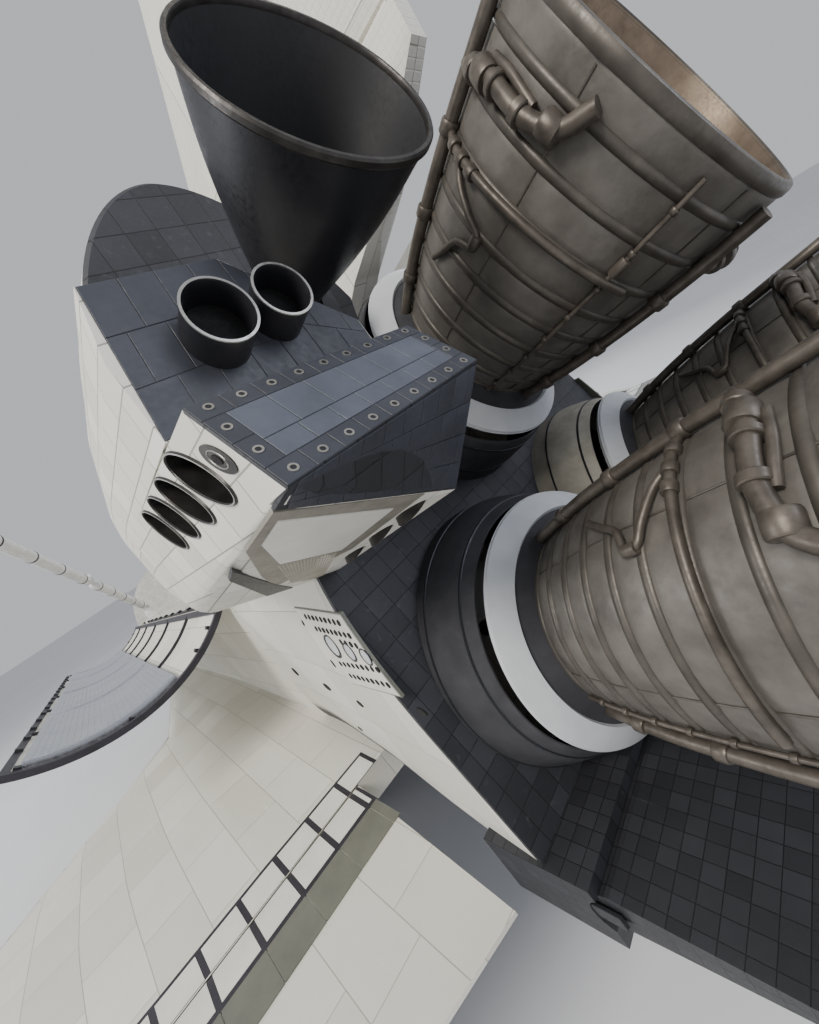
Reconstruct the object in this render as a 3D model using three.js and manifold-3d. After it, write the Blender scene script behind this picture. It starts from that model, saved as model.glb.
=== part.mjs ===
// A winged space orbiter parked on its landing gear, with both payload bay doors open.
// Airframe stations are in inches: x runs aft, y to starboard, z up, as on the real drawings.
// The outer group turns them to the parked attitude and to millimetres.
import * as THREE from 'three';
import { mergeVertices } from 'three/addons/utils/BufferGeometryUtils.js';
import Module from 'manifold-3d';

const wasm = await Module();
wasm.setup();

const inch = 25.4;
const rad = Math.PI / 180;
const noseDown = 3.6 * rad;
const groundAtTail = { x: 1705, z: 137.5 };
const seam = 0.012;
const pinGap = 0.025;
const pinSides = 20;
const barSides = 12;
const bellSides = 20;
const boreSides = 8;

// Fuselage frames, from the nose to the base.
const noseStation = 262;
const bay = { front: 581, back: 1306, sill: 414, floorRadius: 93, floorCentre: 402, axis: 398 };
const hullColumns = ['x', 'half', 'bottom', 'top', 'wide', 'crown', 'belly'];
const hullRows = [
  [238, 4, 334, 342, 338, 2, 2],
  [243, 18, 322, 355, 338, 2, 2],
  [252, 31, 311, 367, 338, 2, 2.1],
  [268, 42, 301, 379, 337, 2, 2.2],
  [300, 56, 291, 394, 336, 2, 2.4],
  [340, 68, 284, 410, 336, 2, 2.7],
  [378, 78, 280, 425, 338, 2, 3],
  [420, 88, 276, 446, 342, 2, 3.3],
  [438, 91, 274.5, 455, 345, 2, 3.5],
  [472, 96, 272, 487, 352, 2.1, 3.8],
  [492, 99, 271, 498, 360, 2.1, 4],
  [530, 103, 269, 502.5, 380, 2, 4.4],
  [581, 105, 267, 503, 398, 2, 5],
  [1306, 105, 267, 503, 398, 2, 5],
  [1400, 112, 268, 503, 385, 2.1, 6],
  [1462, 119, 269, 502, 360, 2.4, 8],
  [1540, 128, 270, 500, 335, 2.8, 10],
];
const baseLean = 13 * rad;
const baseFoot = { x: 1511, z: 290 };
const baseThickness = 2.5;
const shelf = { half: 126, front: 1480, bottom: 270.5, top: 299.8 };

// Main engines: gimbal point, pitch up and yaw outboard of the thrust line.
const engines = [
  { name: 'top', x: 1445, y: 0, z: 443, pitch: 16, yaw: 0, domeRoot: 50.5 },
  { name: 'port', x: 1468.17, y: -53, z: 342.64, pitch: 10, yaw: -3.5, domeRoot: 57 },
  { name: 'starboard', x: 1468.17, y: 53, z: 342.64, pitch: 10, yaw: 3.5, domeRoot: 57 },
];
const gimbalTravel = 10.5;
const bell = { exit: 162, exitRadius: 46.5, wall: 1.4, ball: 4, pocket: 47.3 };
const bellOuter = [[8, 6], [10, 20], [22, 34], [28, 60], [32.4, 74], [38.4, 98], [43.4, 130]];
const bellInner = [[41.9, 130], [36.8, 98], [29.4, 74], [20, 68]];
const shieldShell = { inner: 77.3, outer: 79, edge: 36.8 * rad, root: 23.2 * rad, steps: 2 };
const dome = { front: 18, bend: 36, lip: 58.9, lipRadius: 48.3, bore: 47.6 };

// Manoeuvring pods and their thruster housings, port side; the starboard ones are mirrored.
const podColumns = ['x', 'y', 'half', 'bottom', 'top', 'wide', 'crown', 'belly'];
const podRows = [
  [1309, -84, 8, 450, 478, 464, 2, 2],
  [1325, -85, 23, 440, 496, 469, 2, 2],
  [1350, -86, 35, 434, 512, 473, 2, 2.2],
  [1390, -88, 46, 431, 527, 472, 2, 2.4],
  [1440, -91, 50, 430, 538, 468, 1.9, 2.6],
  [1490, -92, 53, 431, 542, 461, 1.85, 2.8],
  [1506, -92, 53, 433, 540, 458, 1.8, 3],
];
const podNozzle = {
  x: 1518, y: -88, z: 492, pitch: 18.5, yaw: -5.5, exit: 54, exitRadius: 23.5, ball: 3,
  boss: { from: -18, root: 15, tip: 8 },
};
const podBellOuter = [[5, 3.5], [7, 8], [10.5, 16], [15.5, 27], [20.2, 40]];
const podBellInner = [[19.4, 40], [14.7, 27], [9.6, 18], [5, 14]];
// Each housing is a long tail box with a shorter block on top. Both are given by their sides as x and z, and
// by y, which eases in towards the front of the outboard side.
const housing = {
  tail: [
    { y: [-139, -149.5, -150, -150, -150, -150, -139],
      side: [[1430, 432], [1500, 439], [1570, 449], [1577, 450], [1566.5, 465.7], [1500, 467], [1430, 470]] },
    { y: Array(7).fill(-106),
      side: [[1430, 426], [1500, 421], [1555.7, 430.4], [1577, 450.5], [1568, 463], [1500, 464], [1430, 468]] },
  ],
  top: [
    { y: [-139, -150, -150, -149.3, -145.5, -144, -133],
      side: [[1430, 466], [1500, 464.5], [1553.5, 465], [1552.4, 480], [1551, 492.3], [1500, 496], [1430, 500]] },
    { y: Array(7).fill(-121),
      side: [[1430, 466], [1500, 463], [1553.5, 462.5], [1552.4, 479], [1551, 492.3], [1500, 496], [1430, 500]] },
    { y: Array(7).fill(-100),
      side: [[1430, 466], [1500, 462], [1553.5, 461], [1552.4, 467], [1551, 472.5], [1500, 490], [1430, 498]] },
  ],
};
const thrusterDepth = 5;
const sideThrusters = { x: [1518.5, 1530.5, 1543.5, 1556], y: -150, z: 458.3, radius: 4.6 };
const downThrusters = { x: [1516, 1529, 1542], y: -112, radius: 4.6 };
const upThrusters = { x: [1516, 1529, 1542], y: -132, radius: 4.6 };
const aftThrusters = { x: 1567, z: 475.8, y: [-137, -124], radius: 5.4, bore: 4.6, back: 1546, floor: 1558 };

// Fin and its split rudder.
const fin = {
  rows: [[500, 1309, 1548], [531, 1312, 1549], [562, 1341, 1550], [564, 1343, 1550], [816, 1597, 1705]],
  foot: 496, split: 565, tip: 816,
  hinge: { low: [1442, 503], high: [1662, 816] },
  halfLow: 10.9, halfHigh: 5.3, edge: 1.4, shaft: 2.2, shaftGap: 0.035, cove: 0.5, lip: 0.95, bevel: 0.5,
    web: 0.9,
};

// Wing stations, starboard: leading edge, crown, keel, and half depth at the elevon hinge.
const wingColumns = ['y', 'lead', 'leadZ', 'top', 'bottom'];
const wingRows = [
  [80, 545, 290, 324, 268],
  [105, 545, 290, 324, 268],
  [140, 753, 290, 324, 269],
  [185, 1021, 291, 320, 272.5],
  [240, 1076, 294, 318, 278],
  [330, 1166, 301, 319, 287],
  [468, 1304, 310, 321, 301],
];
const hingeX = 1387;
const hingeZ = (y) => 279 + 0.0615 * y;
const hingeHalf = (y) => 10.2 - 0.0128 * y;
const trailX = (y) => 1525 - 0.1773 * y;
const trailZ = (y) => 282.75 + 0.0615 * y;
const lip = 0.45;
const coveGap = 0.3;
const elevons = [
  { name: 'inboard', from: 130, fromTrail: 139, to: 312.4 },
  { name: 'outboard', from: 314.6, fromTrail: 314.6, to: 463.5 },
];
const hingePlate = { y: 313.5, half: 0.5, pin: 1.2, reach: 3.2 };
const edgePanels = [[140, 753, 62], [185, 1021, 40], [240, 1076, 26], [330, 1166, 23], [468, 1304, 20]];
const flap = { x: 1532, z: 287, half: 8, trail: 1613, trailZ: 289, span: 123.6, edge: 1.2, pinReach: 3.5,
  lug: 1.4 };

// Payload bay doors, radiators and the manipulator arm on the port sill.
const door = { outer: 105, inner: 101.5, start: 9.3, end: 89.9, steps: 14, open: 139.5, hingeY: 105.5,
  hingeZ: 414.95 };
const doorHinge = { radius: 0.75, length: 7, count: 7, sides: 12, gap: 0.03, lug: 2, lugRadius: 1.35 };
const radiator = { outer: 103, inner: 98.2, start: 38, end: 85, steps: 10, front: 590, back: 1298 };
const arm = {
  x: 679, y: -82.5, z: 442.5, yaw: 12.4, pitch: 15.9,
  upper: 251, lower: 278, wrist: 73, radius: 6.2, joint: 6.9, yoke: 4.3, elbowRise: 6,
};

// Landing gear.
const noseGear = { x: 377.5, y: 0, tyre: 16, width: 8.8, gauge: 9.5, hub: 7.5, axle: 2, gap: 0.03,
  block: 3.2 };
const mainGear = { x: 1172, y: 136, tyre: 22.25, width: 16, gauge: 13.5, hub: 10, axle: 3.2, gap: 0.035,
  block: 4.2 };
const noseWell = { from: 335, to: 440, half: 22.5, roof: 330 };
const mainWell = { from: 1042, to: 1202, inner: 110, outer: 162, roof: 302 };
const wheelSides = 24;

const hatch = { x: 505, z: 345.2, radius: 19.8, inner: 17.6, opening: 20, depth: 8, skin: -99 };
const umbilical = { fromX: 1432, toX: 1497, fromZ: 332, toZ: 405, proud: 1.2 };

const paint = {
  tileBlack: { color: 0x1b1c20, roughness: 0.75, metalness: 0 },
  tileWhite: { color: 0xd9d8d2, roughness: 0.7, metalness: 0 },
  blanket: { color: 0xcfcdc6, roughness: 0.95, metalness: 0 },
  carbon: { color: 0x6d6d6e, roughness: 0.6, metalness: 0 },
  nozzle: { color: 0x8b8580, roughness: 0.4, metalness: 0.9 },
  steel: { color: 0x9b9ca0, roughness: 0.35, metalness: 0.9 },
  silver: { color: 0xb9bcc4, roughness: 0.2, metalness: 1 },
  tyre: { color: 0x191919, roughness: 0.9, metalness: 0 },
  glass: { color: 0x0d1014, roughness: 0.1, metalness: 0 },
  gearWhite: { color: 0xe2e2de, roughness: 0.5, metalness: 0 },
};
const materials = Object.fromEntries(
  Object.entries(paint).map(([name, look]) => [name, new THREE.MeshStandardMaterial({ name, ...look })]));

const airframe = new THREE.Group();

const named = (columns, rows) =>
  rows.map((row) => Object.fromEntries(columns.map((column, i) => [column, row[i]])));

// A closed geometry becomes a solid; a body that faces inwards is turned the right way first.
function solid(geometry) {
  const bare = geometry.index ? geometry.clone() : mergeVertices(geometry.clone());
  bare.deleteAttribute('normal');
  bare.deleteAttribute('uv');
  const merged = mergeVertices(bare, 1e-4);
  const position = merged.attributes.position.array;
  const kept = [];
  for (let i = 0; i < merged.index.count; i += 3) {
    const [a, b, c] = [0, 1, 2].map((k) => merged.index.getX(i + k));
    if (a !== b && b !== c && c !== a) kept.push(a, b, c);
  }
  const point = (i) => new THREE.Vector3().fromArray(position, 3 * i);
  let volume = 0;
  for (let i = 0; i < kept.length; i += 3) {
    volume += point(kept[i]).dot(point(kept[i + 1]).cross(point(kept[i + 2])));
  }
  if (volume < 0) kept.reverse();
  return new wasm.Manifold(new wasm.Mesh({
    numProp: 3,
    vertProperties: new Float32Array(position),
    triVerts: new Uint32Array(kept),
  }));
}

function geometryOf(body) {
  const mesh = body.getMesh();
  const geometry = new THREE.BufferGeometry();
  geometry.setAttribute('position', new THREE.BufferAttribute(mesh.vertProperties, 3));
  geometry.setIndex(new THREE.BufferAttribute(mesh.triVerts, 1));
  geometry.computeVertexNormals();
  return geometry;
}

// Slivers with no volume, left where two cuts share a plane, are dropped.
function add(name, body, material) {
  const bits = body.decompose().filter((bit) => Math.abs(bit.volume()) > 0.01);
  const mesh = new THREE.Mesh(geometryOf(wasm.Manifold.compose(bits)), materials[material]);
  mesh.name = name;
  airframe.add(mesh);
}

const join = (...bodies) => bodies.reduce((sum, body) => sum.add(body));
const mirrored = (body) => solid(geometryOf(body).scale(1, -1, 1));

// A body through a row of closed rings, with its two ends closed by fans. The diagonals to port
// mirror those to starboard, so that a symmetric body is exactly symmetric.
function loft(rings) {
  const count = rings[0].length;
  const points = rings.flat();
  const faces = [];
  for (let i = 0; i + 1 < rings.length; i += 1) {
    for (let k = 0; k < count; k += 1) {
      const [a, b] = [i * count + k, i * count + ((k + 1) % count)];
      const port = points[a].y + points[b].y < 0;
      faces.push(...(port ? [a, b, a + count, b, b + count, a + count] : [a, b, b + count, a, b + count,
        a + count]));
    }
  }
  for (const [ring, flip] of [[0, true], [rings.length - 1, false]]) {
    const middle = rings[ring].reduce((sum, p) => sum.add(p), new THREE.Vector3()).divideScalar(count);
    points.push(middle);
    for (let k = 0; k < count; k += 1) {
      const pair = [ring * count + k, ring * count + ((k + 1) % count)];
      if (flip) pair.reverse();
      faces.push(...pair, points.length - 1);
    }
  }
  const geometry = new THREE.BufferGeometry().setFromPoints(points);
  geometry.setIndex(faces);
  return solid(geometry);
}

// An outline pushed along one axis: x takes [y, z] points, y takes [z, x] and z takes [x, y].
function prism(axis, outline, from, to) {
  const shape = new THREE.Shape(outline.map(([a, b]) => new THREE.Vector2(a, b)));
  const geometry = new THREE.ExtrudeGeometry(shape, { depth: to - from, bevelEnabled: false });
  const order = { x: [[0, 1, 0], [0, 0, 1], [1, 0, 0]], y: [[0, 0, 1], [1, 0, 0], [0, 1, 0]], z: [[1, 0,
    0], [0, 1, 0], [0, 0, 1]] };
  const columns = order[axis].map((column) => new THREE.Vector3(...column));
  const start = columns[2].clone().multiplyScalar(from);
  return solid(geometry.applyMatrix4(new THREE.Matrix4().makeBasis(...columns).setPosition(start)));
}

function block([x0, x1], [y0, y1], [z0, z1]) {
  const geometry = new THREE.BoxGeometry(x1 - x0, y1 - y0, z1 - z0);
  return solid(geometry.translate((x0 + x1) / 2, (y0 + y1) / 2, (z0 + z1) / 2));
}

// A turned body: the profile is [radius, distance], and the distance runs from origin along direction.
function turned(profile, origin, direction, sides = bellSides, phase = 0) {
  const shape = profile.map(([r, s]) => new THREE.Vector2(r, s));
  const geometry = new THREE.LatheGeometry(shape, sides, phase);
  geometry.applyQuaternion(new THREE.Quaternion().setFromUnitVectors(new THREE.Vector3(0, 1, 0), direction));
  return solid(geometry.translate(origin.x, origin.y, origin.z));
}

// A round bar between two points, thinner at its far end where the second radius is smaller.
function bar(from, to, radius, sides = barSides, farRadius = radius) {
  const [a, b] = [new THREE.Vector3(...from), new THREE.Vector3(...to)];
  const length = a.distanceTo(b);
  const direction = b.clone().sub(a).normalize();
  return turned([[0, 0], [radius, 0], [farRadius, length], [0, length]], a, direction, sides);
}

// A fuselage or pod frame: a rounded crown over a squarer belly.
function frameRing(row, extra = 0, count = 24) {
  const squash = (value, power) => Math.sign(value) * Math.abs(value) ** (2 / power);
  return Array.from({ length: count }, (_, i) => {
    const turn = (2 * Math.PI * i) / count;
    const power = Math.sin(turn) > 0 ? row.crown : row.belly;
    const height = Math.sin(turn) > 0 ? row.top - row.wide : row.wide - row.bottom;
    const y = (row.y ?? 0) + (row.half + extra) * squash(Math.cos(turn), power);
    return new THREE.Vector3(row.x, y, row.wide + (height + extra) * squash(Math.sin(turn), power));
  });
}

const slab = (from, to) => block([from, to], [-600, 600], [0, 1000]);
const hullFrames = named(hullColumns, hullRows);
const baseX = (z, out = 0) => baseFoot.x + out / Math.cos(baseLean) - Math.tan(baseLean) * (z - baseFoot.z);
// Everything aft of the leaning base, or of a plane a little outside it.
const behindBase = (out) => prism('y', [[200, baseX(200, out)], [600, baseX(600, out)], [600, 1700],
  [200, 1700]], -300, 300);

const wholeHull = loft(hullFrames.map((row) => frameRing(row)));
const hull = wholeHull.subtract(behindBase(0));
const hullCut = loft(hullFrames.map((row) => frameRing(row, seam)));

// Nose, windscreen, hatch and forward fuselage.
const windscreenCut = (gap) => prism('y', [
  [452 - gap, 436 - gap], [540, 436 - gap], [540, 489 + gap], [478 - gap, 489 + gap],
], -120, 120);
const noseWellBlock = block([noseWell.from, noseWell.to], [-noseWell.half, noseWell.half], [240,
  noseWell.roof]);
const hatchAxis = new THREE.Vector3(0, 1, 0);
const hatchHole = turned([[0, 0], [hatch.opening, 0], [hatch.opening, 40], [0, 40]],
  new THREE.Vector3(hatch.x, hatch.skin + hatch.depth - 40, hatch.z), hatchAxis);
const hatchPlug = turned([[0, 0], [hatch.radius, 0], [hatch.radius, 31.5], [hatch.inner, 39.8], [0, 39.8]],
  new THREE.Vector3(hatch.x, hatch.skin + hatch.depth - 40, hatch.z), hatchAxis);
const hatchHinge = { y: hatch.skin - 2.6, z: hatch.z - hatch.opening - 1.6, radius: 0.7 };
const hatchTube = bar([hatch.x - 8, hatchHinge.y, hatchHinge.z], [hatch.x + 8, hatchHinge.y, hatchHinge.z],
  hatchHinge.radius, pinSides);
const hatchFeet = join(...[-7, 7].map((x) =>
  block([hatch.x + x - 1, hatch.x + x + 1], [hatchHinge.y, hatch.skin + 3], [hatchHinge.z - 0.5,
    hatchHinge.z + 0.5])));
const hatchLug = block([hatch.x - 5, hatch.x + 5], [hatchHinge.y - 0.4, hatch.skin + 1.5],
  [hatchHinge.z + 0.2, hatch.z - hatch.radius + 1.5]);
const hatchGroove = bar([hatch.x - 9, hatchHinge.y, hatchHinge.z], [hatch.x + 9, hatchHinge.y, hatchHinge.z],
  hatchHinge.radius + pinGap, pinSides);
const lugRoom = block([hatch.x - 5.4, hatch.x + 5.4], [-130, hatch.skin + 2.2], [hatchHinge.z - 1.2,
  hatch.z - hatch.radius + 3]);

add('nose_cap', hull.intersect(slab(200, noseStation)), 'carbon');
add('windscreen', hull.intersect(windscreenCut(0)), 'glass');
add('forward_fuselage', hull.intersect(slab(noseStation + seam, bay.front))
  .subtract(windscreenCut(seam)).subtract(noseWellBlock).subtract(hatchHole).subtract(lugRoom)
  .add(hatchTube).add(hatchFeet), 'tileWhite');
add('crew_hatch', hullCut.intersect(hatchPlug).add(hatchLug).subtract(hatchGroove), 'tileWhite');

// Mid fuselage: a trough with a sill along each side, and a row of door hinges on it.
const arc = (radius, from, to, steps, centreZ) => Array.from({ length: steps + 1 }, (_, i) => {
  const turn = (from + ((to - from) * i) / steps) * rad;
  return [radius * Math.cos(turn), centreZ + radius * Math.sin(turn)];
});
const floorAngle = Math.asin((bay.sill - bay.floorCentre) / bay.floorRadius) / rad;
const floorArc = arc(bay.floorRadius, floorAngle, -180 - floorAngle, 20, bay.floorCentre);
const trough = prism('x', [[130, bay.sill], ...floorArc, [-130, bay.sill], [-130, 520], [130, 520]],
  bay.front - 1, bay.back + 1);
const hingeStations = Array.from({ length: doorHinge.count }, (_, i) =>
  bay.front + 30 + ((bay.back - bay.front - 60) * i) / (doorHinge.count - 1));
const hingeKnuckles = (side) => join(...hingeStations.map((x) => {
  const [y, z, half] = [side * door.hingeY, door.hingeZ, doorHinge.length / 2];
  const foot = block([x - half, x + half], side > 0 ? [102, y] : [y, -102], [bay.sill - 3,
    door.hingeZ - 0.3]);
  const reach = half + doorHinge.lug + 0.4;
  return bar([x - reach, y, z], [x + reach, y, z], doorHinge.radius, doorHinge.sides).add(foot);
}));
add('mid_fuselage', wholeHull.intersect(slab(bay.front + seam, bay.back)).subtract(trough)
  .add(hingeKnuckles(1)).add(hingeKnuckles(-1)), 'tileBlack');

// Payload bay doors, swung about their hinge lines to the open position, and their radiators.
const shell = (spec, from, to) => prism('x', [
  ...arc(spec.outer, spec.start, spec.end, spec.steps, bay.axis),
  ...arc(spec.inner, spec.end, spec.start, spec.steps, bay.axis),
], from, to);
function swungOpen(body) {
  const geometry = geometryOf(body).translate(0, -door.hingeY, -door.hingeZ);
  geometry.rotateX(-door.open * rad).translate(0, door.hingeY, door.hingeZ);
  return solid(geometry);
}
// Each door hangs on two lugs at every hinge, one at either end of the knuckle.
const doorLug = (x) => {
  const [y, z, far] = [door.hingeY, door.hingeZ, x + doorHinge.lug];
  return bar([x, y, z], [far, y, z], doorHinge.lugRadius, doorHinge.sides)
    .add(block([x, far], [102, y], [z - 0.35, z + doorHinge.lugRadius]))
    .subtract(bar([x - 1, y, z], [far + 1, y, z], doorHinge.radius + doorHinge.gap, doorHinge.sides));
};
const doorLugs = join(...hingeStations.flatMap((x) =>
  [x - doorHinge.length / 2 - doorHinge.lug - 0.2, x + doorHinge.length / 2 + 0.2].map(doorLug)));
const footRoom = join(...hingeStations.map((x) =>
  block([x - 4.2, x + 4.2], [101, door.hingeY], [bay.sill - 1, door.hingeZ])));
const openDoor = swungOpen(shell(door, bay.front + 0.5, bay.back - 0.5).subtract(footRoom).add(doorLugs));
const openRadiator = swungOpen(shell(radiator, radiator.front, radiator.back)
  .subtract(shell({ ...door, inner: door.inner - seam }, bay.front, bay.back)));
for (const [side, place] of [['port', mirrored], ['starboard', (body) => body]]) {
  add(`bay_door_${side}`, place(openDoor), 'blanket');
  add(`radiator_${side}`, place(openRadiator), 'silver');
}

// Aft fuselage with a pocket round each engine, the shelf for the body flap, and the base shield.
const thrustLine = ({ pitch, yaw }) => new THREE.Vector3(
  Math.cos(pitch * rad) * Math.cos(yaw * rad), Math.cos(pitch * rad) * Math.sin(yaw * rad),
    Math.sin(pitch * rad));
const pockets = join(...engines.map((engine) => turned(
  [[0, -bell.ball - seam], [bell.pocket, -bell.ball - seam], [bell.pocket, 90], [0, 90]],
  new THREE.Vector3(engine.x, engine.y, engine.z), thrustLine(engine))));
const flapCove = bar([flap.x, -140, flap.z], [flap.x, 140, flap.z], flap.half + coveGap, bellSides);
const flapLip = flap.x - lip * flap.half;
const flapLugs = join(...[-1, 1].map((side) => {
  const [y0, y1] = [side * (flap.span + 0.6), side * (flap.span + 0.6 + flap.lug)];
  const plate = block([flap.x - flap.half - 4, flap.x + 2], [Math.min(y0, y1), Math.max(y0, y1)],
    [flap.z - 3, flap.z + 3]);
  return plate.add(bar([flap.x, side * (flap.span - flap.pinReach), flap.z], [flap.x, (y0 + y1) / 2, flap.z],
    hingePlate.pin, pinSides));
}));
const shelfBlock = block([shelf.front, flapLip], [-shelf.half, shelf.half], [shelf.bottom, shelf.top]);
const aftHull = hull.intersect(slab(bay.back + seam, 1600));
const shelfBody = shelfBlock.intersect(slab(shelf.front, 1600)).subtract(flapCove);
add('aft_fuselage', aftHull.add(shelfBody).subtract(flapCove).subtract(pockets).add(flapLugs), 'tileWhite');

const baseSlab = wholeHull.intersect(behindBase(seam)).subtract(behindBase(baseThickness));
const domeProfile = (root) => [
  [root, dome.front], [root - 0.8, dome.bend], [dome.lipRadius, dome.lip], [dome.bore, dome.lip],
  [dome.bore, dome.front], [root, dome.front],
];
const domes = join(...engines.map((engine) => turned(domeProfile(engine.domeRoot),
  new THREE.Vector3(engine.x, engine.y, engine.z), thrustLine(engine))));
const shelfRoom = block([shelf.front - 1, 1600], [-140, 140], [260, shelf.top + seam]);
add('base_heat_shield', baseSlab.add(domes.intersect(behindBase(seam))).subtract(pockets)
  .subtract(shelfRoom), 'tileBlack');

// Main engines: powerhead, bell and the round heat shield that turns with it about the gimbal.
const arcOnSphere = (radius, from, to, steps) => Array.from({ length: steps + 1 }, (_, i) => {
  const turn = from + ((to - from) * i) / steps;
  return [radius * Math.sin(turn), radius * Math.cos(turn)];
});
const ballNose = [[0, -1], [2.83, -0.707], [4, 0], [3.4, 0.5]].map(([r, s]) => [r, s * bell.ball]);
const bellProfile = [
  ...ballNose, ...bellOuter, [bell.exitRadius, bell.exit],
  [bell.exitRadius - bell.wall, bell.exit], ...bellInner, [0, 66],
];
const shieldProfile = [
  ...arcOnSphere(shieldShell.outer, shieldShell.root, shieldShell.edge, shieldShell.steps),
  ...arcOnSphere(shieldShell.inner, shieldShell.edge, shieldShell.root, shieldShell.steps),
];
for (const engine of engines) {
  const place = [new THREE.Vector3(engine.x, engine.y, engine.z), thrustLine(engine)];
  const shield = turned([...shieldProfile, shieldProfile[0]], ...place);
  add(`main_engine_${engine.name}`, turned(bellProfile, ...place).add(shield), 'nozzle');
}

// Manoeuvring pods, thruster housings and pod nozzles.
const podBody = loft(named(podColumns, podRows).map((row) => frameRing(row)));
const housingRing = ({ y, side }, edge, out) => {
  const middle = [0, 1].map((k) => side.reduce((sum, p) => sum + p[k] / side.length, 0));
  return side.map(([x, z], k) => new THREE.Vector3(x + out * Math.sign(x - middle[0]), y[k] + edge * out,
    z + out * Math.sign(z - middle[1])));
};
const housingBody = (out) => join(...[housing.tail, housing.top].map((rings) =>
  loft(rings.map((ring, k) => housingRing(ring, k === 0 ? -1 : Number(k === rings.length - 1), out)))));
const bores = join(
  ...sideThrusters.x.map((x) => bar([x, sideThrusters.y - 5, sideThrusters.z],
    [x, sideThrusters.y + thrusterDepth, sideThrusters.z], sideThrusters.radius, boreSides)),
  ...downThrusters.x.map((x) => bar([x, downThrusters.y, 415],
    [x, downThrusters.y - 3, 440 + (x - 1516) * 0.35], downThrusters.radius, boreSides)),
  ...upThrusters.x.map((x) => bar([x, upThrusters.y, 505], [x, upThrusters.y, 487],
    upThrusters.radius, boreSides)),
  ...aftThrusters.y.map((y) => bar([1600, y, aftThrusters.z], [aftThrusters.floor, y, aftThrusters.z],
    aftThrusters.bore, boreSides)));
const aftStubs = join(...aftThrusters.y.map((y) =>
  bar([aftThrusters.back, y, aftThrusters.z], [aftThrusters.x, y, aftThrusters.z], aftThrusters.radius,
    barSides)));
const podPlace = [new THREE.Vector3(podNozzle.x, podNozzle.y, podNozzle.z), thrustLine(podNozzle)];
const podBoss = turned([
  [0, podNozzle.boss.from], [podNozzle.boss.root, podNozzle.boss.from],
  [podNozzle.boss.tip, -podNozzle.ball - seam], [0, -podNozzle.ball - seam],
], ...podPlace);
const hullForPods = hullCut.subtract(behindBase(baseThickness + seam));
const engineRoom = join(...[-gimbalTravel, 0, gimbalTravel].map((turn) => turned(
  [[0, 10], [52, 10], [52, 120], [0, 120]],
  new THREE.Vector3(engines[0].x, engines[0].y, engines[0].z),
    thrustLine({ pitch: engines[0].pitch + turn, yaw: 0 }))));
const portPod = podBody.add(podBoss).subtract(hullForPods).subtract(engineRoom)
  .subtract(housingBody(seam));
const portHousing = housingBody(0).subtract(hullForPods).add(aftStubs).subtract(bores);
const podBall = [[0, -1], [2.1, -0.707], [3, 0]].map(([r, s]) => [r * podNozzle.ball / 3,
  s * podNozzle.ball]);
const portPodNozzle = turned([
  ...podBall, ...podBellOuter, [podNozzle.exitRadius, podNozzle.exit], [podNozzle.exitRadius - 0.8,
    podNozzle.exit], ...podBellInner, [0, 12],
], ...podPlace);
for (const [side, place] of [['port', (body) => body], ['starboard', mirrored]]) {
  add(`pod_${side}`, place(portPod), 'blanket');
  add(`thruster_housing_${side}`, place(portHousing), 'tileBlack');
  add(`pod_nozzle_${side}`, place(portPodNozzle), 'nozzle');
}

// Fin, rudder shaft and the two rudder halves.
const lerp = THREE.MathUtils.lerp;
const hingeAt = (z) => lerp(fin.hinge.low[0], fin.hinge.high[0],
  (z - fin.hinge.low[1]) / (fin.hinge.high[1] - fin.hinge.low[1]));
const halfAt = (z) => lerp(fin.halfLow, fin.halfHigh,
  (z - fin.hinge.low[1]) / (fin.hinge.high[1] - fin.hinge.low[1]));
const finEdge = (z, column) => {
  const i = Math.max(1, fin.rows.findIndex((row) => row[0] >= z));
  const [a, b] = [fin.rows[i - 1], fin.rows[i]];
  return lerp(a[column], b[column], (z - a[0]) / (b[0] - a[0]));
};
function finRing(z, backX, backHalf) {
  const [lead, hinge, half] = [finEdge(z, 1), hingeAt(z), halfAt(z)];
  const side = [[0.012, 0.14], [0.06, 0.34], [0.3, 0.72], [0.7, 0.97], [1, 1]]
    .map(([f, h]) => [lerp(lead, hinge, f), half * h]);
  if (backX > hinge) side.push([backX, backHalf]);
  return [[lead, 0], ...side, ...side.toReversed().map(([x, y]) => [x, -y])].map(([x,
    y]) => new THREE.Vector3(x, y, z));
}
const lowFin = loft([fin.foot, 531, fin.split - 3].map((z) => finRing(Math.max(z, 500.01), 1550,
  4.5).map((p) => p.setZ(z))));
// The underside of the fin rises aft, clear of the top engine at the end of its travel.
const finKeel = prism('y', [[400, 1461], [506, 1461], [515, 1478], [529, 1517], [549, 1550], [549, 1700],
  [400, 1700]],
  -50, 50);
const highFin = loft([fin.split - 3.2, fin.tip].map((z) => finRing(z, 0, 0)));
const onHinge = (z) => [hingeAt(z), 0, z];
const cove = bar(onHinge(fin.split - 6), onHinge(fin.tip + 12), halfAt(fin.split - 6) + fin.cove,
  bellSides, halfAt(fin.tip + 12) + fin.cove);
// The fin ends a little forward of the hinge, and each rudder half starts with a bevel, so that it can
// swing wide.
const lipRoom = loft([fin.split - 6, fin.tip + 12].map((z) => [[-1, -50], [30, -50], [30, 50], [-1,
  50]].map(([side, y]) =>
  new THREE.Vector3(hingeAt(z) + (side < 0 ? -fin.lip * halfAt(z) : side), y, z))));
const webs = join(...[600, 665, 730, 790].map((z) =>
  block([hingeAt(z) - 16, hingeAt(z)], [-fin.web, fin.web], [z - 6, z + 6])));
const shaftRoom = bar(onHinge(fin.split - 1), onHinge(fin.tip + 12), fin.shaft + fin.shaftGap, pinSides);
const behindHinge = prism('y', [[400, hingeAt(400)], [900, hingeAt(900)], [900, 1900], [400, 1900]], -50,
  50);
add('fin', highFin.subtract(lipRoom).subtract(cove).add(webs.subtract(behindHinge)).subtract(shaftRoom)
  .add(lowFin.subtract(finKeel).subtract(hullForPods).subtract(portPod).subtract(mirrored(portPod))),
    'blanket');
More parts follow.
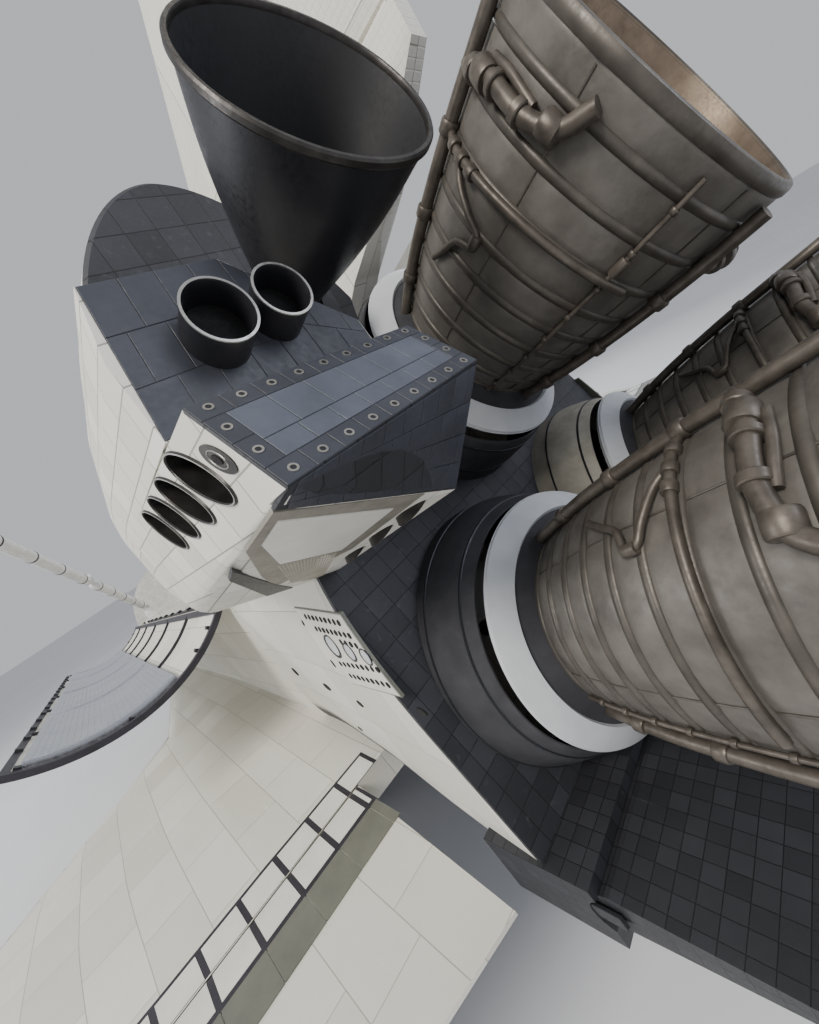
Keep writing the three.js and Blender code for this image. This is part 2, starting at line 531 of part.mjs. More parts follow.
add('rudder_shaft', bar(onHinge(fin.split - 0.97), onHinge(fin.tip - 4), fin.shaft, pinSides), 'steel');
const rudderHalf = loft([fin.split, fin.tip].map((z) => [
  [hingeAt(z) + 1, 0.2], [hingeAt(z) + 1, fin.bevel * halfAt(z)], [hingeAt(z) + halfAt(z), 0.95 * halfAt(z)],
  [finEdge(z, 2), fin.edge], [finEdge(z, 2), 0.2],
].map(([x, y]) => new THREE.Vector3(x, y, z))));
const starboardRudder = rudderHalf.subtract(shaftRoom);
add('rudder_half_starboard', starboardRudder, 'blanket');
add('rudder_half_port', mirrored(starboardRudder), 'blanket');

// Wings, leading edges, elevons and their hinge plates, built to starboard and mirrored.
const wingSide = [[0, 0], [0.008, 0.3], [0.03, 0.52], [0.1, 0.8], [0.3, 1], [0.62, 0.97]];
function wingRing(row) {
  const half = hingeHalf(row.y);
  const back = hingeX - lip * half;
  const upper = wingSide.map(([f, h]) => [lerp(row.lead, back, f), lerp(row.leadZ, row.top, h)]);
  const lower = wingSide.slice(1).map(([f, h]) => [lerp(row.lead, back, f), lerp(row.leadZ, row.bottom, h)]);
  const tail = [[back, hingeZ(row.y) + half], [back, hingeZ(row.y) - half]];
  return [...upper, ...tail, ...lower.toReversed()].map(([x, z]) => new THREE.Vector3(x, row.y, z));
}
const hingePoint = (y) => [hingeX, y, hingeZ(y)];
const wingCove = bar(hingePoint(60), hingePoint(480), hingeHalf(60) + coveGap, bellSides,
  hingeHalf(480) + coveGap);
const mainWellBlock = block([mainWell.from, mainWell.to], [mainWell.inner, mainWell.outer], [200,
  mainWell.roof]);
const edgeOutline = [
  ...edgePanels.map(([y, x, depth]) => [x + depth, y]),
  [1330, 480], [1200, 480], [700, 140],
];
const edgeBlock = (extra) => prism('z', edgeOutline.map(([x, y]) => [x + extra, y - extra]), 200, 400);
const plateOutline = [hingeX - 16, hingeX + 2];
const elevonPlate = block(plateOutline, [hingePlate.y - hingePlate.half, hingePlate.y + hingePlate.half],
  [hingeZ(hingePlate.y) - 3.4, hingeZ(hingePlate.y) + 3.4])
  .add(bar(hingePoint(hingePlate.y - hingePlate.reach), hingePoint(hingePlate.y + hingePlate.reach),
    hingePlate.pin, pinSides));
const rawWing = loft(named(wingColumns, wingRows).map(wingRing));
const starboardWing = rawWing.subtract(wingCove).subtract(hullCut).subtract(mainWellBlock)
  .subtract(edgeBlock(seam)).add(elevonPlate);
const starboardEdge = rawWing.intersect(edgeBlock(0)).subtract(hullCut).subtract(wingCove);

// A surface with a round nose about its hinge and a thin trailing edge.
function controlRing(hinge, half, trail, edge, yAt) {
  const nose = Array.from({ length: 13 }, (_, i) => {
    const turn = (90 + 15 * i) * rad;
    return [hinge.x + half * Math.cos(turn), hinge.z + half * Math.sin(turn)];
  });
  return [...nose, [trail.x, trail.z - edge], [trail.x, trail.z + edge]]
    .map(([x, z]) => new THREE.Vector3(x, yAt(x), z));
}
function elevonBody({ from, fromTrail, to }) {
  const slope = (fromTrail - from) / (trailX(from) - hingeX);
  const inner = controlRing({ x: hingeX, z: hingeZ(from) }, hingeHalf(from), { x: trailX(from),
    z: trailZ(from) }, 1,
    (x) => from + slope * Math.max(0, x - hingeX));
  const outer = controlRing({ x: hingeX, z: hingeZ(to) }, hingeHalf(to), { x: trailX(to),
    z: trailZ(to) }, 0.8, () => to);
  return loft([inner, outer]);
}
const elevonBore = bar(hingePoint(hingePlate.y - 4), hingePoint(hingePlate.y + 4),
  hingePlate.pin + pinGap, pinSides);
for (const [side, place] of [['port', mirrored], ['starboard', (body) => body]]) {
  add(`wing_${side}`, place(starboardWing), 'tileWhite');
  add(`leading_edge_${side}`, place(starboardEdge), 'carbon');
  for (const elevon of elevons) {
    add(`elevon_${elevon.name}_${side}`, place(elevonBody(elevon).subtract(elevonBore)), 'tileWhite');
  }
}

const flapBody = loft([-flap.span, flap.span].map((y) =>
  controlRing({ x: flap.x, z: flap.z }, flap.half, { x: flap.trail, z: flap.trailZ }, flap.edge, () => y)));
const flapBores = join(...[-1, 1].map((side) =>
  bar([flap.x, side * (flap.span - 4.5), flap.z], [flap.x, side * (flap.span + 1), flap.z],
    hingePlate.pin + pinGap, pinSides)));
add('body_flap', flapBody.subtract(flapBores), 'tileBlack');

// Landing gear. A wheel pair is one body on its axle, and a flat of each tyre faces the ground.
const groundZ = (x) => groundAtTail.z + (groundAtTail.x - x) * Math.tan(noseDown);
const axleZ = (gear) => groundZ(gear.x) + gear.tyre / Math.cos(noseDown);
function wheelPair(gear) {
  const corner = gear.tyre / Math.cos(Math.PI / wheelSides);
  const [half, hub] = [gear.width / 2, gear.hub];
  const profile = [
    [0, -half * 0.6], [hub, -half * 0.6], [corner * 0.78, -half], [corner * 0.94, -half * 0.84], [corner,
      -half * 0.5],
    [corner, half * 0.5], [corner * 0.94, half * 0.84], [corner * 0.78, half], [hub, half * 0.6], [0,
      half * 0.6],
  ];
  const axis = new THREE.Vector3(0, 1, 0);
  const phase = noseDown + Math.PI / wheelSides;
  const wheels = [-1, 1].map((side) =>
    turned(profile, new THREE.Vector3(gear.x, gear.y + side * gear.gauge, axleZ(gear)), axis, wheelSides,
      phase));
  const reach = gear.gauge + half * 0.2;
  return join(...wheels, bar([gear.x, gear.y - reach, axleZ(gear)], [gear.x, gear.y + reach, axleZ(gear)],
    gear.axle, wheelSides));
}
const axleRoom = (gear) => bar([gear.x, gear.y - 30, axleZ(gear)], [gear.x, gear.y + 30, axleZ(gear)],
  gear.axle + gear.gap, wheelSides);

const noseAxle = axleZ(noseGear);
const noseCollar = 262;
const noseStrut = join(
  bar([noseGear.x, 0, noseCollar], [noseGear.x, 0, noseWell.roof - seam], 4.6),
  bar([noseGear.x, -noseWell.half + seam, 300], [noseGear.x, noseWell.half - seam, 300], 2.6),
  bar([noseGear.x, 0, 272], [noseGear.x + 50, 0, noseWell.roof - 3], 2.2));
const noseSteer = join(
  bar([noseGear.x, 0, noseAxle - 2], [noseGear.x, 0, noseCollar - seam], 3.1),
  bar([noseGear.x, -noseGear.block, noseAxle], [noseGear.x, noseGear.block, noseAxle], 4),
  block([noseGear.x + 2, noseGear.x + 12], [-1.5, 1.5], [noseAxle + 8, noseAxle + 10]),
  block([noseGear.x + 10, noseGear.x + 12], [-1.5, 1.5], [noseAxle + 8, noseCollar - 1]));
add('nose_strut', noseStrut.intersect(block([300, noseWell.to - seam], [-30, 30], [200,
  noseWell.roof - seam])), 'gearWhite');
add('nose_steering_leg', noseSteer.subtract(axleRoom(noseGear)), 'steel');
add('nose_wheels', wheelPair(noseGear), 'tyre');
for (const [side, sign] of [['port', -1], ['starboard', 1]]) {
  const spread = (a, b) => [Math.min(sign * a, sign * b), Math.max(sign * a, sign * b)];
  const tabs = join(...[350, 425].map((x) => block([x - 3, x + 3], spread(20.6, noseWell.half - seam),
    [262, 296])));
  add(`nose_gear_door_${side}`, block([noseWell.from + 2, noseWell.to - 2], spread(19.8, 21.2), [256.5,
    281]).add(tabs), 'tileBlack');
}

const mainAxle = axleZ(mainGear);
const mainStrut = join(
  bar([mainGear.x, mainGear.y, mainAxle - 3], [mainGear.x, mainGear.y, 240], 4.8),
  bar([mainGear.x, mainGear.y, 232], [mainGear.x, mainGear.y, mainWell.roof - seam], 6.6),
  bar([mainGear.x, mainGear.y - mainGear.block, mainAxle], [mainGear.x, mainGear.y + mainGear.block,
    mainAxle], 6.4),
  bar([mainGear.x, mainWell.inner + seam, 288], [mainGear.x, mainWell.outer - 7, 288], 3.6),
  bar([mainGear.x, mainGear.y, 246], [mainGear.x - 78, mainGear.y - 14, mainWell.roof - 5], 2.8),
  bar([mainGear.x, mainGear.y, 246], [mainGear.x - 78, mainGear.y + 14, mainWell.roof - 5], 2.8),
  block([mainGear.x - 16, mainGear.x - 4], [mainGear.y - 2, mainGear.y + 2], [mainAxle + 12, mainAxle + 15]),
  block([mainGear.x - 18, mainGear.x - 15], [mainGear.y - 2, mainGear.y + 2], [mainAxle + 12, 246]));
const mainDoor = join(
  block([mainWell.from + 3, mainWell.to - 3], [157.5, 159.7], [204, 271]),
  ...[1070, 1140].map((x) => block([x - 3, x + 3], [158.5, mainWell.outer - seam], [262, 288])));
for (const [side, place] of [['port', mirrored], ['starboard', (body) => body]]) {
  add(`main_strut_${side}`, place(mainStrut.subtract(axleRoom(mainGear))), 'gearWhite');
  add(`main_wheels_${side}`, place(wheelPair(mainGear)), 'tyre');
  add(`main_gear_door_${side}`, place(mainDoor), 'tileBlack');
}

// Manipulator arm: pedestal on the port sill, shoulder, two booms and the end effector.
const armDirection = new THREE.Vector3(
  Math.cos(arm.pitch * rad) * Math.cos(arm.yaw * rad),
    -Math.cos(arm.pitch * rad) * Math.sin(arm.yaw * rad), Math.sin(arm.pitch * rad));
const armSide = new THREE.Vector3(Math.sin(arm.yaw * rad), Math.cos(arm.yaw * rad), 0);
const alongArm = (s, side = 0) => new THREE.Vector3(arm.x, arm.y, arm.z)
  .addScaledVector(armDirection, s).addScaledVector(armSide, side).toArray();
const pedestalTop = 430;
add('arm_pedestal', join(
  block([arm.x - 14, arm.x + 14], [-98, -76], [bay.sill + seam, 419]),
  block([arm.x - 8, arm.x + 8], [-90, -75], [419, pedestalTop])), 'gearWhite');
const yokeCheek = (side) => bar(alongArm(0, side * 3.4), alongArm(0, side * 6), arm.yoke);
const shoulderPin = bar(alongArm(0, -6), alongArm(0, 6), hingePlate.pin, pinSides);
const cheekFoot = (side) => bar([alongArm(0, side * 4.8)[0], alongArm(0, side * 4.8)[1],
  pedestalTop + 3], alongArm(0, side * 4.8), 1.4);
add('arm_shoulder', join(
  bar([arm.x, arm.y, pedestalTop + seam], [arm.x, arm.y, pedestalTop + 5], arm.joint),
  yokeCheek(-1), yokeCheek(1), cheekFoot(-1), cheekFoot(1), shoulderPin), 'gearWhite');
// The elbow pivot stands above the booms' centre line, so that the lower boom folds back over the upper one.
const armUp = new THREE.Vector3().crossVectors(armDirection, armSide);
const elbowAt = (side) => new THREE.Vector3(...alongArm(arm.upper, side)).addScaledVector(armUp,
  arm.elbowRise).toArray();
const pinBore = (from, to) => bar(from, to, hingePlate.pin + pinGap, pinSides);
add('arm_upper_boom', join(
  bar(alongArm(0, -3), alongArm(0, 3), 4.4),
  bar(alongArm(0), alongArm(24), 2.9),
  bar(alongArm(14), alongArm(arm.upper - 14), arm.radius),
  bar(alongArm(arm.upper - 18), elbowAt(0), 2.9),
  bar(elbowAt(-3), elbowAt(3), 5)).subtract(pinBore(alongArm(0, -8), alongArm(0,
    8))).subtract(pinBore(elbowAt(-8), elbowAt(8))), 'gearWhite');
const elbowCheek = (side) => join(
  bar(elbowAt(side * 3.4), elbowAt(side * 6), 5),
  bar(elbowAt(side * 4.7), alongArm(arm.upper + 16, side * 4.7), 1.3));
const wristStart = arm.upper + arm.lower;
add('arm_lower_boom', join(
  elbowCheek(-1), elbowCheek(1),
  bar(elbowAt(-6), elbowAt(6), hingePlate.pin, pinSides),
  bar(alongArm(arm.upper + 12), alongArm(wristStart), arm.radius)), 'gearWhite');
add('arm_end_effector', join(
  bar(alongArm(wristStart + seam), alongArm(wristStart + 22), 5.4),
  bar(alongArm(wristStart + 20), alongArm(wristStart + 46), arm.joint),
  bar(alongArm(wristStart + 44), alongArm(wristStart + arm.wrist), 5.8)), 'gearWhite');

// Umbilical panels on the sides of the aft fuselage.
const sideSkin = hullCut.subtract(behindBase(0));
const thickSkin = loft(hullFrames.map((row) => frameRing(row, umbilical.proud))).subtract(sideSkin);
const panelBlock = block([umbilical.fromX, umbilical.toX], [-200, -60], [umbilical.fromZ, umbilical.toZ]);
const portPanel = thickSkin.intersect(panelBlock).subtract(behindBase(-2));
add('umbilical_panel_port', portPanel, 'steel');
add('umbilical_panel_starboard', mirrored(portPanel), 'steel');

// The parked attitude, with the origin on the ground under the middle of the whole machine.
const tail = new THREE.Vector3(groundAtTail.x, 0, groundAtTail.z).applyAxisAngle(new THREE.Vector3(0, 1,
  0), -noseDown);
airframe.rotation.y = -noseDown;
airframe.position.z = -tail.z;
const orbiter = new THREE.Group();
orbiter.name = 'space_orbiter';
orbiter.scale.setScalar(inch);
orbiter.add(airframe);
orbiter.updateMatrixWorld(true);
const extent = new THREE.Box3().setFromObject(orbiter, true);
airframe.position.x = -(extent.min.x + extent.max.x) / (2 * inch);

export default orbiter;
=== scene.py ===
# The finished look of a winged space orbiter that stands on its wheels with its payload bay doors open.
# Shapes are written in the airframe's own inches (x aft, y to starboard, z up) and turned to the row frame.
import math
import bmesh
import bpy
import numpy as np
from mathutils import Matrix, Vector


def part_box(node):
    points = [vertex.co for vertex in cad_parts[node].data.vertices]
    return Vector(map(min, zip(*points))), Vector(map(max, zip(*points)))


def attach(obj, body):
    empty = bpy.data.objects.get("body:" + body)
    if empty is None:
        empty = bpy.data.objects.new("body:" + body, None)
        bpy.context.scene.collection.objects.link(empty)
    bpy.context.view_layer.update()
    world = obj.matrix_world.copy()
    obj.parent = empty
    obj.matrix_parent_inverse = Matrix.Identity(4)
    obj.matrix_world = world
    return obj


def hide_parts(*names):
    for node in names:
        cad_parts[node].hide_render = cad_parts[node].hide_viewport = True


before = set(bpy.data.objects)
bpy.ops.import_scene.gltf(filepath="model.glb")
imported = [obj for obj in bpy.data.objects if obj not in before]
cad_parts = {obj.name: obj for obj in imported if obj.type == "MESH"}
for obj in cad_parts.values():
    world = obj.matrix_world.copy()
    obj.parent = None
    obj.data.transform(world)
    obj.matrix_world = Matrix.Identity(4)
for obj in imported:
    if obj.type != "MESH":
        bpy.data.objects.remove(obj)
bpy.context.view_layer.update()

# The airframe's inches stand nose down in the row frame; the main wheels' box gives the shift along x.
inch = 0.0254
site = {"noseDown": math.radians(3.6), "groundX": 1705, "groundZ": 137.5, "mainX": 1172, "mainTyre": 22.25}
lean = site["noseDown"]
rowTurn = np.array([[math.cos(lean), 0, -math.sin(lean)], [0, 1, 0], [math.sin(lean), 0, math.cos(lean)]])


def groundAt(x):
    return site["groundZ"] + (site["groundX"] - x) * math.tan(lean)


wheelLow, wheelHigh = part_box("main_wheels_port")
mainAxle = groundAt(site["mainX"]) + site["mainTyre"] / math.cos(lean)
wheelX = (wheelLow[0] + wheelHigh[0]) / (2 * inch)
shift = np.array([
    wheelX - (site["mainX"] * math.cos(lean) - mainAxle * math.sin(lean)), 0,
    -(site["groundX"] * math.sin(lean) + site["groundZ"] * math.cos(lean))])


# A point p in inches lies at (turn p + shift) times 0.0254 metres.
def toRow(points):
    return (np.asarray(points, float) @ rowTurn.T + shift) * inch


# A shape is a pair: an array of vertices in inches, and a list of faces.
def joined(*shapes):
    starts = np.cumsum([0] + [len(shape[0]) for shape in shapes[:-1]])
    faces = [[start + i for i in face] for start, shape in zip(starts.tolist(), shapes) for face in shape[1]]
    return np.concatenate([shape[0] for shape in shapes]), faces


def same(shape):
    return shape


def mirrored(shape):
    return shape[0] * np.array([1, -1, 1]), [face[::-1] for face in shape[1]]


# A pair of pieces is drawn on one side and mirrored to the other.
portDrawn = (("port", same), ("starboard", mirrored))
starboardDrawn = (("starboard", same), ("port", mirrored))


# A grid of points becomes quads between neighbours; a wrapped direction also joins its last row to its first.
def grid(points, wrapRows=False, wrapColumns=False):
    rows, columns = points.shape[:2]
    i, k = np.meshgrid(np.arange(rows - (not wrapRows)), np.arange(columns - (not wrapColumns)), indexing="ij")
    nextRow, nextColumn = (i + 1) % rows, (k + 1) % columns
    quads = np.stack([i * columns + k, i * columns + nextColumn, nextRow * columns + nextColumn,
                      nextRow * columns + k], -1)
    return points.reshape(-1, 3), quads.reshape(-1, 4).tolist()


# Closed rings joined in a row, with a flat cap at either end.
def tube(rings):
    count, around = rings.shape[:2]
    vertices, faces = grid(rings, wrapColumns=True)
    return vertices, faces + [list(range(around))[::-1], list(range((count - 1) * around, count * around))]


# Two unit vectors across a direction, the first level and the second as upright as it can be.
def across(direction):
    forward = np.asarray(direction, float) / np.linalg.norm(direction)
    upright = np.array([0, 0, 1.0]) if abs(forward[2]) < 0.9 else np.array([-1.0, 0, 0])
    level = np.cross(upright, forward)
    level /= np.linalg.norm(level)
    return level, np.cross(forward, level), forward


# A profile of (radius, distance) turned about a line: origin + distance along it + radius around it.
def turned(profile, origin, direction, sides=96, closed=False):
    level, up, forward = across(direction)
    turn = np.linspace(0, 2 * math.pi, sides, endpoint=False)
    ring = np.cos(turn)[:, None] * level + np.sin(turn)[:, None] * up
    profile = np.asarray(profile, float)
    points = np.asarray(origin, float) + profile[:, 1, None, None] * forward + profile[:, 0, None, None] * ring
    return grid(points, closed, True) if closed else tube(points)


# A round tube along a path: rings at right angles to it, each ring's first direction carried on from the last.
def swept(path, radius, sides=12):
    path = np.asarray(path, float)
    tangent = np.gradient(path, axis=0)
    tangent /= np.linalg.norm(tangent, axis=1)[:, None]
    side = [across(tangent[0])[0]]
    for direction in tangent[1:]:
        carried = side[-1] - direction * (side[-1] @ direction)
        side.append(carried / np.linalg.norm(carried))
    side = np.array(side)
    other = np.cross(tangent, side)
    turn = np.linspace(0, 2 * math.pi, sides, endpoint=False)[None, :, None]
    reach = np.broadcast_to(np.asarray(radius, float), len(path))[:, None, None]
    return tube(path[:, None] + reach * (np.cos(turn) * side[:, None] + np.sin(turn) * other[:, None]))


# A smooth path through a few points: cubic pieces whose slope at each point is that of its neighbours.
def rounded(points, steps=8):
    points = np.asarray(points, float)
    slopes = np.gradient(points, axis=0)
    t = np.linspace(0, 1, steps, endpoint=False)[:, None, None]
    a, b, da, db = points[:-1], points[1:], slopes[:-1], slopes[1:]
    curve = ((2 * t**3 - 3 * t**2 + 1) * a + (t**3 - 2 * t**2 + t) * da
             + (3 * t**2 - 2 * t**3) * b + (t**3 - t**2) * db)
    return np.concatenate([curve.transpose(1, 0, 2).reshape(-1, points.shape[1]), points[-1:]])


# Twelve corners of a chamfered block in three rings of four; the sides and ends are the same for all of them.
blockSides = [[r + k, r + (k + 1) % 4, r + 4 + (k + 1) % 4, r + 4 + k] for r in (0, 4) for k in range(4)]
blockFaces = np.array(blockSides + [[3, 2, 1, 0], [8, 9, 10, 11]])


def repeatedFaces(count):
    return (blockFaces + 12 * np.arange(count)[:, None, None]).reshape(-1, 4).tolist()


# Many blocks at once: centre plus or minus half sizes, each with its top edge chamfered.
def blocks(centres, halves, chamfer=0.2):
    centres = np.atleast_2d(np.asarray(centres, float))
    halves = np.broadcast_to(np.asarray(halves, float), centres.shape)
    corner = np.array([[-1, -1], [1, -1], [1, 1], [-1, 1]], float)
    cut = np.minimum(chamfer, halves.min(1) * 0.6)[:, None, None]
    flat = corner * halves[:, None, :2]
    rings = [(flat, -halves[:, 2]), (flat, halves[:, 2] - cut[:, 0, 0]), (flat - corner * cut, halves[:, 2])]
    local = np.concatenate([np.concatenate([xy, np.repeat(z[:, None, None], 4, 1)], 2) for xy, z in rings], 1)
    return (centres[:, None] + local).reshape(-1, 3), repeatedFaces(len(centres))


# Many round studs at once, each a short chamfered bar along one direction.
def studs(centres, direction, radius, height, sides=16):
    profile = [[radius, -height], [radius, height * 0.6], [radius * 0.85, height]]
    return joined(*[turned(profile, centre, direction, sides) for centre in centres])


# An outline in two of the three coordinates, pushed along the third.
def prism(axis, outline, start, end):
    outline = np.asarray(outline, float)
    places = {"x": (0, 1, 2), "y": (1, 2, 0), "z": (2, 0, 1)}[axis]
    ring = np.zeros((2, len(outline), 3))
    ring[0, :, places[0]], ring[1, :, places[0]] = start, end
    ring[:, :, places[1]], ring[:, :, places[2]] = outline[:, 0], outline[:, 1]
    return tube(ring)


# Smooth values between the rows of a table: cubic pieces whose slopes never overshoot the rows.
def between(rows, stations):
    rows = np.asarray(rows, float)
    x, y = rows[:, 0], rows[:, 1:]
    step = np.diff(x)[:, None]
    secant = np.diff(y, axis=0) / step
    product = secant[:-1] * secant[1:]
    total = np.where(product > 0, secant[:-1] + secant[1:], 1)
    slope = np.concatenate([secant[:1], np.where(product > 0, 2 * product / total, 0), secant[-1:]])
    i = np.clip(np.searchsorted(x, stations, "right") - 1, 0, len(x) - 2)
    t = ((stations - x[i]) / step[i, 0])[:, None]
    return ((2 * t**3 - 3 * t**2 + 1) * y[i] + (t**3 - 2 * t**2 + t) * step[i] * slope[i]
            + (3 * t**2 - 2 * t**3) * y[i + 1] + (t**3 - t**2) * step[i] * slope[i + 1])


def refreshed(mesh, smooth):
    work = bmesh.new()
    work.from_mesh(mesh)
    bmesh.ops.remove_doubles(work, verts=work.verts, dist=1e-5)
    bmesh.ops.recalc_face_normals(work, faces=work.faces)
    work.to_mesh(mesh)
    work.free()
    mesh.shade_smooth()
    mesh.set_sharp_from_angle(angle=math.radians(smooth))


def makeObject(name, shape):
    mesh = bpy.data.meshes.new(name)
    mesh.from_pydata(toRow(shape[0]), [], shape[1])
    piece = bpy.data.objects.new(name, mesh)
    bpy.context.scene.collection.objects.link(piece)
    return piece


# A piece in place: its shape less the cutting shapes, with the name of its look, its body and the nodes
# it stands for.
def makePiece(name, shape, look, body, nodes=(), cuts=(), smooth=35):
    piece = makeObject(name, shape)
    refreshed(piece.data, smooth)
    if cuts:
        tools = [makeObject(name + "_cut", cut) for cut in cuts]
        for tool in tools:
            refreshed(tool.data, smooth)
            change = piece.modifiers.new("cut", "BOOLEAN")
            change.object, change.operation, change.solver = tool, "DIFFERENCE", "EXACT"
        bpy.context.view_layer.update()
        solidMesh = bpy.data.meshes.new_from_object(piece.evaluated_get(bpy.context.evaluated_depsgraph_get()))
        piece.modifiers.clear()
        piece.data = solidMesh
        for tool in tools:
            bpy.data.objects.remove(tool)
        refreshed(piece.data, smooth)
    piece.data.materials.clear()
    piece.data.materials.append(materials[look])
    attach(piece, body)
    if nodes:
        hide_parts(*nodes)
    return piece


# A copy of a CAD node with its corners merged, so that its round faces can be shaded smooth.
def smoothCopy(name, node, look, body, smooth=32):
    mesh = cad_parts[node].data.copy()
    mesh.name = name
    piece = bpy.data.objects.new(name, mesh)
    bpy.context.scene.collection.objects.link(piece)
    refreshed(mesh, smooth)
    mesh.materials.clear()
    mesh.materials.append(materials[look])
    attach(piece, body)
    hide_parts(node)
    return piece


print("shape tools ready")


# Colours are sRGB hex values; the shader wants linear light.
def linear(code):
    parts = [int(code[i:i + 2], 16) / 255 for i in (1, 3, 5)]
    return tuple(c / 12.92 if c <= 0.04045 else ((c + 0.055) / 1.055) ** 2.4 for c in parts) + (1.0,)


# Adds a node: inputs hold values or the sockets that feed them, and settings are the node's own options.
def addNode(tree, kind, inputs=None, **settings):
    node = tree.nodes.new("ShaderNode" + kind)
    for key, value in settings.items():
        setattr(node, key, value)
    for key, value in (inputs or {}).items():
        if isinstance(value, bpy.types.NodeSocket):
            tree.links.new(value, node.inputs[key])
        else:
            node.inputs[key].default_value = value
    return next((output for output in node.outputs if output.enabled), None)


# What a surface knows of its place: inches along the airframe, its normal, and the flat pair of inches that
# its steepest side faces.
def surfacePlace(tree):
    spot = addNode(tree, "TexCoord").node.outputs
    back = -(rowTurn.T @ shift)
    inches = addNode(tree, "Mapping", {"Vector": spot["Object"], "Location": tuple(back),
                                       "Rotation": (0, lean, 0), "Scale": (1 / inch,) * 3})
    x, y, z = addNode(tree, "SeparateXYZ", {0: inches}).node.outputs
    bare = addNode(tree, "SeparateXYZ", {0: spot["Normal"]}).node.outputs
    size = addNode(tree, "VectorMath", {0: spot["Normal"]}, operation="ABSOLUTE")
    nx, ny, nz = addNode(tree, "SeparateXYZ", {0: size}).node.outputs
    wide = addNode(tree, "Math", {0: nx, 1: ny}, operation="MAXIMUM")
    tall = addNode(tree, "Math", {0: ny, 1: nz}, operation="MAXIMUM")
    level = addNode(tree, "Math", {0: nz, 1: wide}, operation="GREATER_THAN")
    endOn = addNode(tree, "Math", {0: nx, 1: tall}, operation="GREATER_THAN")
    u = addNode(tree, "Mix", {0: endOn, 2: x, 3: y}, data_type="FLOAT")
    v = addNode(tree, "Mix", {0: level, 2: z, 3: y}, data_type="FLOAT")
    flat = addNode(tree, "CombineXYZ", {0: u, 1: v})
    return {"x": x, "y": y, "z": z, "normal": bare, "flat": flat, "inches": inches}


# A field of tiles or blankets: a grid of panels in two shades with sunk seams, blotched by broad soft noise.
def panelLayer(tree, place, look):
    turn = addNode(tree, "Mapping", {"Vector": place["flat"], "Rotation": (0, 0, look.get("turn", 0))})
    panel = addNode(tree, "TexBrick", {
        "Vector": turn, "Scale": 1 / look["height"], "Brick Width": look["width"] / look["height"],
        "Row Height": 1.0, "Mortar Size": look["gap"] / look["height"], "Mortar Smooth": 0.3,
        "Color1": linear(look["shade"]), "Color2": linear(look["other"]), "Mortar": linear(look["seam"])},
        offset=look.get("stagger", 0.0), offset_frequency=2)
    seams = panel.node.outputs["Fac"]
    blotch = addNode(tree, "TexNoise", {"Vector": place["inches"], "Scale": 1 / look["blotch"], "Detail": 6,
                                        "Roughness": 0.65})
    amount = addNode(tree, "MapRange", {0: blotch, 1: 0.35, 2: 0.75, 3: 0, 4: look["soil"]})
    colour = addNode(tree, "Mix", {0: amount, 6: panel, 7: linear(look["stain"])}, data_type="RGBA")
    streak = addNode(tree, "TexNoise", {"Vector": addNode(tree, "Mapping", {
        "Vector": place["inches"], "Scale": (0.02, 0.3, 0.3)}), "Scale": 1, "Detail": 5})
    markFrom = look.get("markFrom", 0.66)
    marks = addNode(tree, "MapRange", {0: streak, 1: markFrom, 2: 0.8, 3: 0, 4: look["marks"]})
    colour = addNode(tree, "Mix", {0: marks, 6: colour, 7: linear(look["mark"])}, data_type="RGBA")
    grain = addNode(tree, "TexNoise", {"Vector": place["inches"], "Scale": 1 / 0.7, "Detail": 3})
    gloss = look["rough"]
    rough = addNode(tree, "MapRange", {0: grain, 1: 0.2, 2: 0.8, 3: gloss - 0.08, 4: gloss + 0.08})
    height = addNode(tree, "Math", {0: seams, 1: -1, 2: addNode(
        tree, "Math", {0: grain, 1: look.get("grit", 0.15)}, operation="MULTIPLY")}, operation="MULTIPLY_ADD")
    if "quilt" in look:
        stitch = addNode(tree, "TexBrick", {
            "Vector": place["flat"], "Scale": 1 / look["quilt"], "Mortar Size": 0.11, "Mortar Smooth": 1.0,
            "Brick Width": 1.0, "Row Height": 1.0}, offset=0.0).node.outputs["Fac"]
        height = addNode(tree, "Math", {0: stitch, 1: -0.55, 2: height}, operation="MULTIPLY_ADD")
    return {"colour": colour, "rough": rough, "height": height}


# One layer over another wherever the mask is 1.
def overlaid(tree, mask, under, over):
    return {
        "colour": addNode(tree, "Mix", {0: mask, 6: under["colour"], 7: over["colour"]}, data_type="RGBA"),
        "rough": addNode(tree, "Mix", {0: mask, 2: under["rough"], 3: over["rough"]}, data_type="FLOAT"),
        "height": addNode(tree, "Mix", {0: mask, 2: under["height"], 3: over["height"]}, data_type="FLOAT")}


def newTree(name):
    material = bpy.data.materials.new(name)
    material.use_nodes = True
    material.node_tree.nodes.clear()
    return material, material.node_tree


def closeTree(tree, layer, depth, **shader):
    bump = addNode(tree, "Bump", {"Height": layer["height"], "Distance": depth, "Strength": 1.0})
    values = {"Base Color": layer["colour"], "Roughness": layer["rough"], "Normal": bump}
    values.update({key.replace("_", " "): value for key, value in shader.items()})
    addNode(tree, "OutputMaterial", {"Surface": addNode(tree, "BsdfPrincipled", values)})


# Silica tile with a black fired glass coat: 6 inch squares, deep grey, faintly glossy, worn pale in streaks.
# The real gap of 1 to 2 mm is drawn about 4 mm wide, because it would not show.
blackTile = {"width": 6, "height": 6, "gap": 0.16, "shade": "#26272b", "other": "#34353a", "seam": "#0d0d0f",
             "stain": "#17181b", "mark": "#5f6066", "rough": 0.5, "blotch": 40, "soil": 0.5, "marks": 0.35}
diagonalTile = dict(blackTile, turn=math.radians(45))
# The tiles round the base are larger squares, and their coat is duller from engine heat.
baseTile = dict(blackTile, width=9, height=9, shade="#2b2c31", other="#3a3b41", rough=0.62, markFrom=0.62)
